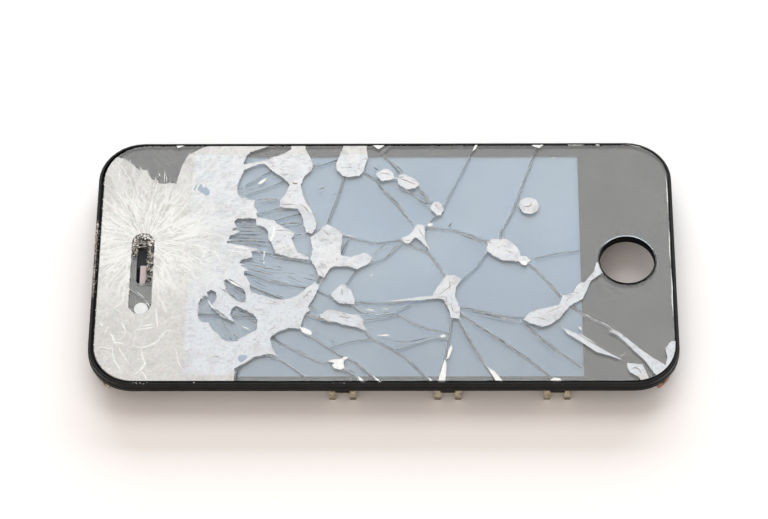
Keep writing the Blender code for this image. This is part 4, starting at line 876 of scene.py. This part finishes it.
def paper_sweep(colours):
    """Matt white paper, exposed so that the camera just loses its grain."""
    made, add, place = new_material("paper_sweep_matt")
    cloud = product(add, add("TexNoise", place, 1 / 40.0, DETAIL, ROUGHNESS), 0.15)
    tone = add("Mix", cloud, colours.floor, linear("EDEBE9"), data_type="RGBA")
    gain = add(
        "MapRange", background_rays(add), 0.0, 1.0, 1.0, 1.22,
        interpolation_type="SMOOTHSTEP",
    )
    seen = add("VectorMath", tone, gain, operation="SCALE")
    add("OutputMaterial", add("BsdfDiffuse", seen))
    return made


def studio_world():
    """Soft warm light from all round, which the background rays see as plain white."""
    made = bpy.data.worlds.new("studio")
    made.use_nodes = True
    made.node_tree.nodes.clear()
    add = partial(add_node, made.node_tree)
    seen = background_rays(add)
    tone = add("Mix", seen, (1.0, 0.9, 0.84, 1), (1, 1, 1, 1), data_type="RGBA")
    strength = add("MapRange", seen, 0.0, 1.0, 0.5, 1.0, interpolation_type="SMOOTHSTEP")
    add("OutputWorld", add("Background", tone, strength))
    return made


def dress(slot, material):
    """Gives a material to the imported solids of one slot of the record."""
    for part in frame["record"]["subparts"]:
        if part["material_slot"] == slot:
            solid = frame["nodes"][part["node"]]
            solid.data.materials.clear()
            solid.data.materials.append(material)


def add_piece(name, work, materials):
    """Makes a mesh piece that rides with the assembly."""
    bmesh.ops.recalc_face_normals(work, faces=work.faces)
    mesh = bpy.data.meshes.new(name)
    work.to_mesh(mesh)
    work.free()
    piece = bpy.data.objects.new(name, mesh)
    bpy.context.scene.collection.objects.link(piece)
    for material in materials:
        mesh.materials.append(material)
    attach(piece, "root")


def inside(outline, point):
    """Whether a point lies in an outline."""
    odd = False
    for (x1, y1), (x2, y2) in zip(outline, outline[1:] + outline[:1]):
        if (y1 > point[1]) != (y2 > point[1]):
            if point[0] < x1 + (point[1] - y1) * (x2 - x1) / (y2 - y1):
                odd = not odd
    return odd


def on_top_of(solids):
    """A test of whether a point lies on the flat top of one of these solids."""
    trees = [
        BVHTree.FromPolygons(
            [v.co for v in solid.data.vertices], [p.vertices for p in solid.data.polygons]
        )
        for solid in solids
    ]

    def lies_on_top(point):
        start = Vector((point.x * MM, point.y * MM, 2 * GLASS_TOP * MM))
        hits = [tree.ray_cast(start, Vector((0, 0, -1)))[0] for tree in trees]
        return any(hit is not None and hit.z > (GLASS_TOP - 0.01) * MM for hit in hits)

    return lies_on_top


def smooth_path(points, step=0.35):
    """Points along a smooth curve through the given ones, about a step apart."""
    ends = [2 * Vector(points[0]) - Vector(points[1])]
    ends += [Vector(point) for point in points]
    ends.append(2 * ends[-1] - ends[-2])
    path = []
    for a, b, c, d in zip(ends, ends[1:], ends[2:], ends[3:]):
        count = max(1, round((c - b).length / step))
        for i in range(count):
            t = i / count
            path.append(
                0.5 * (2 * b + (c - a) * t + (2 * a - 5 * b + 4 * c - d) * t * t
                       + (3 * b - a - 3 * c + d) * t ** 3)
            )
    path.append(ends[-2])
    return path


def round_outline(centre, radius, steps=48):
    """Points round a circle."""
    return [
        (centre[0] + radius * math.cos(math.tau * i / steps),
         centre[1] + radius * math.sin(math.tau * i / steps))
        for i in range(steps)
    ]


def edge_outline(inset, steps=9):
    """Points round the frame, this far inside its edge."""
    half = [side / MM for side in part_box("bezel_frame")[1][:2]]
    points = []
    for corner, (side_x, side_y) in enumerate(((1, 1), (-1, 1), (-1, -1), (1, -1))):
        for i in range(steps + 1):
            turn = math.pi / 2 * (corner + i / steps)
            points.append(
                (side_x * (half[0] - FRAME_CORNER) + (FRAME_CORNER - inset) * math.cos(turn),
                 side_y * (half[1] - FRAME_CORNER) + (FRAME_CORNER - inset) * math.sin(turn))
            )
    return points


def add_ring(work, outline, level):
    """Vertices round an outline, all at one level."""
    return [work.verts.new((x * MM, y * MM, level * MM)) for x, y in outline]


def join_rings(work, rings):
    """Walls from each ring of vertices to the next."""
    for first, second in zip(rings, rings[1:]):
        for i in range(len(first)):
            work.faces.new((first[i - 1], first[i], second[i], second[i - 1]))


def add_band(work, inner, outer, base, top):
    """A closed ring with a rectangular section between two outlines."""
    rings = [
        add_ring(work, outline, level)
        for outline, level in ((inner, base), (outer, base), (outer, top), (inner, top))
    ]
    join_rings(work, rings + rings[:1])


def add_plate(work, outline, base, thickness):
    """A closed flat plate on an outline."""
    lower, upper = (add_ring(work, outline, level) for level in (base, base + thickness))
    work.faces.new(lower[::-1])
    work.faces.new(upper)
    join_rings(work, [lower, upper])


def add_ridge(work, path, width, base, height):
    """A closed ridge along a path, thinning out to a point at each end."""
    rings = []
    last = len(path) - 1
    for i in range(1, last):
        along = (path[i + 1] - path[i - 1]).normalized()
        swell = min(1.0, RIDGE_SWELL * min(i, last - i) / last)
        where = Vector((path[i].x * RIPPLES_PER_MM, path[i].y * RIPPLES_PER_MM, width))
        ripple = 1 + RIDGE_RIPPLE * noise.noise(where)
        side = Vector((along.y, -along.x)) * width / 2 * swell * ripple
        places = ((path[i] + side, base), (path[i], base + height * swell * ripple),
                  (path[i] - side, base))
        rings.append([work.verts.new((p.x * MM, p.y * MM, z * MM)) for p, z in places])
    join_rings(work, rings)
    for ring, point in ((rings[0], path[0]), (rings[-1], path[-1])):
        tip = work.verts.new((point.x * MM, point.y * MM, base * MM))
        for j in range(3):
            work.faces.new((ring[j - 1], ring[j], tip))


def add_crumb(work, spot, level, size, rng, flat, kind=0):
    """An angular crumb with eight faces that stands on a level, its material by kind."""
    turn = rng.uniform(0, math.tau)
    corners = []
    for angle in (0, 90, 180, 270):
        reach = size / 2 * rng.uniform(0.6, 1.3)
        a = turn + math.radians(angle + rng.uniform(-28, 28))
        rise = size * flat * rng.uniform(0.1, 0.5)
        corners.append((reach * math.cos(a), reach * math.sin(a), rise))
    shift = [rng.uniform(-0.2, 0.2) * size for _ in range(4)]
    corners.append((shift[0], shift[1], size * flat * rng.uniform(0.6, 1.0)))
    corners.append((shift[2], shift[3], 0.0))
    foot = Vector((*spot, level))
    *belt, top, bottom = [
        work.verts.new([(a + b) * MM for a, b in zip(foot, corner)]) for corner in corners
    ]
    for i in range(4):
        for tip in (top, bottom):
            work.faces.new((belt[i - 1], belt[i], tip)).material_index = kind


def random_spot(rng, low, high):
    """A spot anywhere between two corners."""
    return [rng.uniform(a, b) for a, b in zip(low, high)]


def spot_near(rng, middle, spread):
    """A spot at most this far from a middle each way."""
    return [m + rng.uniform(-1, 1) * reach for m, reach in zip(middle, spread)]


def add_veins(sizes, rng):
    """White veins in the crushed field, and streaks that run out from the impact."""
    work = bmesh.new()
    base = GLASS_TOP + LOW_LIFT
    relief = sizes.relief / MM
    for width, points in VEINS:
        add_ridge(work, smooth_path(points), width, base, relief)
    on_field = on_top_of([frame["nodes"]["crushed_left_field"]])
    for _ in range(sizes.streaks):
        turn = rng.uniform(0, math.tau)
        reach = rng.uniform(3.5, 13) if rng.random() < 0.8 else rng.uniform(8, 20)
        length = rng.uniform(1.2, 4.2)
        bend = rng.uniform(-0.03, 0.03)
        path = []
        while length > 0:
            point = Vector(IMPACT) + reach * Vector((math.cos(turn), math.sin(turn)))
            if not on_field(point):
                break
            path.append(point)
            reach += STEP
            length -= STEP
            turn += bend * STEP + rng.uniform(-0.01, 0.01)
        if len(path) >= FEWEST_POINTS:
            add_ridge(work, path, rng.uniform(0.08, 0.2), base, relief * 0.7)
    frosted = glass_frosted("glass_veins_frosted", "DFE0DB", "F1F1ED")
    add_piece("crushed_veins", work, [frosted])


def top_sides(solid):
    """Start and end of each side of a solid's top that no two of its faces share. Corners
    are compared by place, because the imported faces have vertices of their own."""
    mesh = solid.data
    level = (GLASS_TOP - 0.02) * MM
    uses = {}
    for face in mesh.polygons:
        if face.normal.z > 0.9 and face.center.z > level:
            corners = [
                tuple(round(c / MM, 3) for c in mesh.vertices[i].co.xy) for i in face.vertices
            ]
            for side in zip(corners, corners[1:] + corners[:1]):
                uses.setdefault(tuple(sorted(side)), []).append(side)
    return [sides[0] for sides in sorted(uses.values()) if len(sides) == 1]


def add_fringe(work, solid, rng):
    """Rounded chips along the edges of a crushed patch, and near the impact streaks that
    run away from it."""
    limit = edge_outline(EDGE_INSET + 0.25)
    for side in top_sides(solid):
        start, end = (Vector(point) for point in side)
        along = (end - start).normalized()
        out = Vector((along.y, -along.x))
        reach = rng.uniform(0.0, 0.4)
        while reach < (end - start).length:
            foot = start + along * reach
            away = foot - Vector(IMPACT)
            streaked = away.length < 22 and away.normalized().dot(out) > 0.25
            if streaked and rng.random() < 0.5:
                width = rng.uniform(0.2, 0.45)
                heading = away.normalized() + along * rng.uniform(-0.3, 0.3)
                length = rng.uniform(0.3, 1.2)
            else:
                width = rng.uniform(0.35, 0.9)
                heading = out + along * rng.uniform(-0.5, 0.5)
                length = rng.uniform(0.06, 0.24)
            heading.normalize()
            reach += rng.uniform(0.3, 0.8)
            shape = [
                foot - out * 0.06 + along * width * across + heading * length * ahead
                for across, ahead in CHIP
            ]
            if all(inside(limit, point) for point in shape):
                add_plate(work, shape, GLASS_TOP + 0.0005, rng.uniform(0.004, 0.012))


def add_splits(work, count, height):
    """Short fine cracks that run away from the impact, where shards are still clear."""
    rng = random.Random(SPLIT_SEED)
    on_shard = on_top_of(
        [solid for name, solid in frame["nodes"].items() if name.startswith("shard_")]
    )
    for _ in range(count):
        point = Vector((rng.triangular(-34, -6, -30), rng.uniform(-20, 17)))
        heading = (point - Vector(IMPACT)).normalized()
        heading.rotate(Matrix.Rotation(rng.uniform(-0.2, 0.2), 2))
        length, path = rng.uniform(1.2, 4.5), []
        while length > 0 and on_shard(point):
            path.append(point)
            point = point + heading * STEP
            heading.rotate(Matrix.Rotation(rng.uniform(-0.04, 0.04), 2))
            length -= STEP
        if len(path) >= FEWEST_POINTS:
            add_ridge(work, path, rng.uniform(0.09, 0.17), GLASS_TOP + HIGH_LIFT, height)


def add_edge_crush(rng, materials):
    """White crush where the edges of the glass and of its shards are chipped."""
    work = bmesh.new()
    for outline in FLECKS:
        add_plate(work, outline, GLASS_TOP + LOW_LIFT, 0.012)
        low = [min(p[i] for p in outline) for i in (0, 1)]
        high = [max(p[i] for p in outline) for i in (0, 1)]
        area = (high[0] - low[0]) * (high[1] - low[1])
        for _ in range(round(area * 9)):
            spot = random_spot(rng, low, high)
            if inside(outline, spot):
                size = rng.uniform(0.12, 0.34)
                add_crumb(work, spot, GLASS_TOP + 0.005, size, rng, 0.12)
    add_piece("edge_crush", work, materials)


def add_dust(rng, materials):
    """Fine specks of glass on the clear glass and its border."""
    work = bmesh.new()
    limit = edge_outline(EDGE_INSET + 0.2)
    for low, high, count in DUST:
        for _ in range(count):
            spot = random_spot(rng, low, high)
            off = math.dist(spot, HOME_MIDDLE)
            if inside(limit, spot) and off > HOME_RADIUS + 0.2:
                size = rng.uniform(0.06, 0.16)
                kind = rng.choice((0, 1))
                add_crumb(work, spot, GLASS_TOP + HIGH_LIFT, size, rng, 0.2, kind)
    add_piece("dust", work, materials)


def add_slot_crumbs(sizes, rng, materials):
    """Crumbs in the slot and heaped round it: frosted, inked, cracked and soiled."""
    work = bmesh.new()
    for _ in range(sizes.crumbs):
        where = rng.random()
        zone = next(zone for zone in SLOT_ZONES if where < zone[0])
        heaped = zone is SLOT_ZONES[0]
        spot = random_spot(rng, *zone[1:])
        off = math.hypot(spot[0] - SLOT_MIDDLE[0], max(0.0, spot[1] - HEAP_MIDDLE_Y))
        if heaped and off > HEAP_RADIUS:
            continue
        in_slot = all(abs(spot[i] - SLOT_MIDDLE[i]) < SLOT_HALF[i] for i in (0, 1))
        size = sizes.crumb / MM * rng.uniform(0.5, 1.4)
        level = rng.uniform(5.5, 6.3 - 0.4 * size) if in_slot else GLASS_TOP + LOW_LIFT
        shares = (0.34, 0.12, 0.24, 0.3) if heaped else (0.05, 0.5, 0.15, 0.3)
        kind = rng.choices((0, 1, 2, 3), shares)[0]
        add_crumb(work, spot, level, size, rng, 0.55 if in_slot else 0.1, kind)
    for x, y in INKED_CLUMPS:
        for _ in range(4):
            spot = (x + rng.uniform(-0.2, 0.2), y + rng.uniform(-0.25, 0.25))
            add_crumb(work, spot, GLASS_TOP + HIGH_LIFT, rng.uniform(0.3, 0.65), rng, 0.12, 1)
    add_piece("slot_crumbs", work, materials)


def add_rim_crumbs(rng, materials):
    """Crumbs on the frame's lip: frosted, inked and soiled."""
    work = bmesh.new()
    level = RIM_TOP - 0.02
    for (inward, y), spread, count, pale_share in LEFT_RIM:
        for _ in range(count):
            spot = spot_near(rng, (FRAME_LEFT + inward, y), spread)
            pale = rng.random() < pale_share
            size = rng.uniform(0.12, 0.38)
            add_crumb(work, spot, level, size, rng, 0.2, 0 if pale else rng.choice((1, 2, 2)))
    for x, spread, count in NEAR_RIM:
        for _ in range(count):
            spot = spot_near(rng, (x, FRAME_NEAR + 0.5), (spread, 0.2))
            add_crumb(work, spot, level, rng.uniform(0.12, 0.32), rng, 0.2)
    add_piece("rim_crumbs", work, materials)


def add_camera_window_light():
    """White disc of painted light under the camera window, standing for the lit floor seen
    through it.
    """
    work = bmesh.new()
    # painted light: the white disc stands for the floor seen lit through the clear window
    add_plate(work, round_outline(CAMERA_WINDOW, 1.33), PRINT_TOP + 0.005, 0.035)
    film = plastic_moulded("camera_window_light_white", "FCF7F4", "FFFCFA", 0.6)
    add_piece("camera_window_painted_light", work, [film])


def add_slot_painted_light():
    """Pale patch of painted light in the earpiece slot, standing for the lit floor seen through
    it, round at its near end.
    """
    work = bmesh.new()
    near, far = SLOT_LIGHT_ENDS
    outline = [(SLOT_LIGHT_MIDDLE + SLOT_LIGHT_HALF, far), (SLOT_LIGHT_MIDDLE - SLOT_LIGHT_HALF, far)]
    steps = 12
    for i in range(steps + 1):
        turn = math.pi + math.pi * i / steps
        outline.append(
            (SLOT_LIGHT_MIDDLE + SLOT_LIGHT_HALF * math.cos(turn), near + SLOT_LIGHT_HALF * math.sin(turn))
        )
    add_plate(work, outline, PRINT_TOP + 0.01, 0.04)
    light_patch = plastic_moulded("slot_painted_light_pale", "CBBDBC", "D8CCCB", 0.9)
    add_piece("slot_painted_light_patch", work, [light_patch])


def add_home_hole_edge(rubber):
    """Lining of the home button hole, and the slipped ring round its top."""
    work = bmesh.new()
    x, y = HOME_MIDDLE
    for middle, inner, outer, base, top in (
        (HOME_MIDDLE, -0.05, -0.01, 4.8, GLASS_TOP - 0.02),
        ((x - 0.02, y + 0.06), -0.02, 0.09, GLASS_TOP - 0.15, GLASS_TOP + 0.008),
    ):
        outlines = [round_outline(middle, HOME_RADIUS + off) for off in (inner, outer)]
        add_band(work, *outlines, base, top)
    add_piece("home_hole_edge", work, [rubber])


def add_edge_seal(rubber):
    """Seal between the glass and the lip. It has slipped, and shows most along the near
    edge."""
    work = bmesh.new()
    inner = [(x - 0.04, y + 0.06) for x, y in edge_outline(EDGE_INSET + 0.05)]
    add_band(work, inner, edge_outline(0.64), GLASS_TOP - 0.14, GLASS_TOP + 0.016)
    add_piece("edge_seal", work, [rubber])


class BROKEN_SCREEN_OT_cover_glass(Operator):
    """Give the shards of the cover glass and the sensor under them their glass"""

    bl_idname = "broken_screen.cover_glass"
    bl_label = "Cover glass"

    def execute(self, context):
        colours = context.scene.screen_colours
        dress("cover_glass", cover_glass_polished(colours))
        dress("touch_glass", sensor_glass_bonded(colours))
        return {"FINISHED"}


class BROKEN_SCREEN_OT_crushed_glass(Operator):
    """Give the crushed patches their milky glass, and lay white veins over them"""

    bl_idname = "broken_screen.crushed_glass"
    bl_label = "Crushed glass"

    def execute(self, context):
        crush = glass_crushed_in_place(context.scene.screen_colours)
        dress("crushed_glass", crush)
        rng = random.Random(STREAK_SEED)
        add_veins(context.scene.screen_sizes, rng)
        work = bmesh.new()
        for name, solid in frame["nodes"].items():
            if name.startswith("crushed_"):
                add_fringe(work, solid, rng)
        add_piece("crushed_fringe", work, [crush])
        work = bmesh.new()
        for outline in CLEARINGS:
            add_plate(work, outline, GLASS_TOP + LOW_LIFT, 0.004)
        clear = plastic_moulded("display_through_clear_chip", "8E9FB4", "A9B7C4", 0.3)
        add_piece("clear_spots", work, [clear])
        return {"FINISHED"}


class BROKEN_SCREEN_OT_hairlines(Operator):
    """Lay the fine cracks, seams and slivers that the glass has in its top, with painted shade
    and a painted highlight among them
    """

    bl_idname = "broken_screen.hairlines"
    bl_label = "Hairline cracks"

    def execute(self, context):
        crack = crack_in_glass(context.scene.screen_colours)
        frosted = glass_frosted("glass_slivers_frosted")
        for name, lines, height, material, slot in (
            ("hairline_cracks_and_shadow_lines", HAIRLINES_AND_SHADOW_LINES, 0.008, crack, "cover_glass"),
            ("crushed_seams", SEAMS, 0.006, seam_in_crush(), "crushed_glass"),
            ("slivers_and_edge_highlights", SLIVERS_AND_EDGE_HIGHLIGHTS, 0.012, frosted, "crushed_glass"),
        ):
            work = bmesh.new()
            for width, points in lines:
                add_ridge(work, smooth_path(points), width, GLASS_TOP + HIGH_LIFT, height)
            if name == "hairline_cracks_and_shadow_lines":
                add_splits(work, context.scene.screen_sizes.splits, height)
            add_piece(name, work, [material])
        return {"FINISHED"}


class BROKEN_SCREEN_OT_crumbs(Operator):
    """Heap crumbs over the chipped edges and round the earpiece slot"""

    bl_idname = "broken_screen.crumbs"
    bl_label = "Glass crumbs"

    def execute(self, context):
        sizes = context.scene.screen_sizes
        colours = context.scene.screen_colours
        frosted = glass_frosted("glass_crumbs_frosted")
        inked = crumbs_with_ink(colours)
        crack = crack_in_glass(colours)
        soiled = crumbs_soiled()
        rng = random.Random(CRUMB_SEED)
        add_edge_crush(rng, [frosted])
        add_dust(rng, [frosted, crack])
        add_slot_crumbs(sizes, rng, [frosted, inked, crack, soiled])
        add_rim_crumbs(rng, [frosted, inked, soiled])
        return {"FINISHED"}


class BROKEN_SCREEN_OT_display(Operator):
    """Give the display, the print round it and the backlight their finishes"""

    bl_idname = "broken_screen.display"
    bl_label = "Display"

    def execute(self, context):
        colours = context.scene.screen_colours
        dress("black_print", ink_screen_printed(colours))
        dress("display_film", polarizer_film_matt(colours))
        dress("display_glass", display_glass_etched())
        dress("white_film", plastic_moulded("polyester_film_white", "E8E8E6", "F2F2F0", 0.4))
        dress("white_plastic", plastic_moulded("polycarbonate_white", "DEDDD8", "E9E8E4", 0.4))
        dress("clear_acrylic", acrylic_clear())
        dress(
            "pan_steel",
            steel_sheet("steel_sheet_rolled", linear("BDBDBB"), linear("A9A9A6"), 9.0),
        )
        # painted light: the next two pieces stand for the lit floor seen through the camera
        # window and the slot
        add_camera_window_light()
        add_slot_painted_light()
        return {"FINISHED"}


class BROKEN_SCREEN_OT_bezel(Operator):
    """Give the moulded frame, the gasket and the torn mesh their finishes"""

    bl_idname = "broken_screen.bezel"
    bl_label = "Bezel and gasket"

    def execute(self, context):
        dress("bezel_plastic", polycarbonate_moulded(context.scene.screen_colours))
        rubber = rubber_moulded()
        dress("gasket_rubber", rubber)
        add_home_hole_edge(rubber)
        add_edge_seal(rubber)
        dress("mesh_steel", mesh_woven())
        return {"FINISHED"}


class BROKEN_SCREEN_OT_clips(Operator):
    """Give the steel clips their finishes"""

    bl_idname = "broken_screen.clips"
    bl_label = "Clips"

    def execute(self, context):
        colours = context.scene.screen_colours
        for slot, name, bright, tip_shade in (
            # the last number is how much painted shade darkens the tips
            ("clip_steel", "stainless_clip_stamped", colours.steel, 0.75),
            ("copper_steel", "copper_plated_clip", colours.copper, 0.0),
        ):
            dress(slot, steel_sheet(name, bright, colours.steel_dark, 1.1, tip_shade))
        return {"FINISHED"}


class BROKEN_SCREEN_OT_circuits(Operator):
    """Give the flexible circuits, connectors and chip their finishes"""

    bl_idname = "broken_screen.circuits"
    bl_label = "Circuits"

    def execute(self, context):
        dress("flex_film", polyimide_etched())
        dress("tan_plastic", plastic_moulded("nylon_moulded_tan", "B39D73", "BFAA82", 0.45))
        dress("chip", plastic_moulded("silicon_chip_coated", "18181B", "222226", 0.25))
        return {"FINISHED"}


def view_axes():
    """The camera's backward, right and up directions."""
    turn, rise, roll = (math.radians(a) for a in (CAMERA_TURN, CAMERA_RISE, CAMERA_ROLL))
    back = Vector(
        (math.sin(turn) * math.cos(rise), -math.cos(turn) * math.cos(rise), math.sin(rise))
    )
    right = Vector((math.cos(turn), math.sin(turn), 0))
    up = back.cross(right)
    return (
        back,
        math.cos(roll) * right + math.sin(roll) * up,
        math.cos(roll) * up - math.sin(roll) * right,
    )


def add_camera(scene, back, right, up):
    """The camera at the photograph's angle."""
    camera = bpy.data.objects.new("camera", bpy.data.cameras.new("camera"))
    scene.collection.objects.link(camera)
    place = Vector(CAMERA_TARGET) * MM + back * scene.screen_sizes.distance
    turned = Matrix((right, up, back)).transposed().to_4x4()
    camera.matrix_world = Matrix.Translation(place) @ turned
    camera.data.lens = scene.screen_sizes.lens
    camera.data.sensor_width = 36
    camera.data.clip_start = 0.01
    scene.camera = camera


def add_floor(scene):
    """The paper that the assembly lies on."""
    work = bmesh.new()
    bmesh.ops.create_grid(work, x_segments=8, y_segments=8, size=FLOOR_HALF)
    mesh = bpy.data.meshes.new("floor")
    work.to_mesh(mesh)
    work.free()
    floor = bpy.data.objects.new("floor", mesh)
    scene.collection.objects.link(floor)
    mesh.materials.append(paper_sweep(scene.screen_colours))


def add_lamp(scene, name, toward, width, height, radiance, tint):
    """A rectangular lamp, its sides in metres, that faces the middle of the stage."""
    toward = Vector(toward).normalized()
    lamp = bpy.data.lights.new(name, "AREA")
    lamp.shape = "RECTANGLE"
    lamp.size, lamp.size_y = width, height
    lamp.energy = radiance * math.pi * width * height
    lamp.color = tint
    holder = bpy.data.objects.new(name, lamp)
    scene.collection.objects.link(holder)
    turned = toward.to_track_quat("Z", "Y").to_matrix().to_4x4()
    holder.matrix_world = Matrix.Translation(toward * LAMP_DISTANCE) @ turned


class BROKEN_SCREEN_OT_stage(Operator):
    """Set the floor, the softbox, the world and the camera"""

    bl_idname = "broken_screen.stage"
    bl_label = "Stage"

    def execute(self, context):
        scene = context.scene
        back, right, up = view_axes()
        add_camera(scene, back, right, up)
        add_floor(scene)
        # The camera sees the softbox mirrored in the glass
        mirrored = (-back.x, -back.y, back.z)
        for name, toward, width, height, radiance, tint in (
            ("softbox", mirrored, 0.9, 0.62, 2.15, (1.0, 0.985, 0.985)),
            ("back_strip", (0.1, 1.0, 0.42), 1.6, 0.45, 6.2, (0.85, 1.0, 1.1)),
            ("front_fill", (-0.2, -1.0, 0.8), 1.2, 0.8, 0.8, (1.0, 0.86, 0.75)),
        ):
            add_lamp(scene, name, toward, width, height, radiance, tint)
        scene.world = studio_world()
        scene.view_settings.view_transform = "Standard"
        return {"FINISHED"}


class BROKEN_SCREEN_PT_looks(Panel):
    """Lists the sizes, the colours and the steps"""

    bl_idname = "BROKEN_SCREEN_PT_looks"
    bl_label = "Shattered screen"
    bl_space_type = "VIEW_3D"
    bl_region_type = "UI"
    bl_category = "Screen"

    def draw(self, context):
        layout = self.layout
        for group in (context.scene.screen_sizes, context.scene.screen_colours):
            box = layout.box()
            for name in group.__annotations__:
                box.prop(group, name)
        for step in STEPS:
            layout.operator(step.bl_idname)


STEPS = (
    BROKEN_SCREEN_OT_cover_glass,
    BROKEN_SCREEN_OT_crushed_glass,
    BROKEN_SCREEN_OT_hairlines,
    BROKEN_SCREEN_OT_crumbs,
    BROKEN_SCREEN_OT_display,
    BROKEN_SCREEN_OT_bezel,
    BROKEN_SCREEN_OT_clips,
    BROKEN_SCREEN_OT_circuits,
    BROKEN_SCREEN_OT_stage,
)
CLASSES = (ScreenSizes, ScreenColours, *STEPS, BROKEN_SCREEN_PT_looks)


def register():
    """Registers the classes, and gives the scene its sizes and colours."""
    for cls in CLASSES:
        bpy.utils.register_class(cls)
    bpy.types.Scene.screen_sizes = PointerProperty(type=ScreenSizes)
    bpy.types.Scene.screen_colours = PointerProperty(type=ScreenColours)


def unregister():
    """Undoes what register did."""
    del bpy.types.Scene.screen_colours
    del bpy.types.Scene.screen_sizes
    for cls in reversed(CLASSES):
        bpy.utils.unregister_class(cls)


def main():
    """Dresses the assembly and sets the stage."""
    register()
    bpy.ops.broken_screen.cover_glass()
    bpy.ops.broken_screen.crushed_glass()
    bpy.ops.broken_screen.hairlines()
    bpy.ops.broken_screen.crumbs()
    bpy.ops.broken_screen.display()
    bpy.ops.broken_screen.bezel()
    bpy.ops.broken_screen.clips()
    bpy.ops.broken_screen.circuits()
    bpy.ops.broken_screen.stage()


if __name__ == "__main__":
    main()
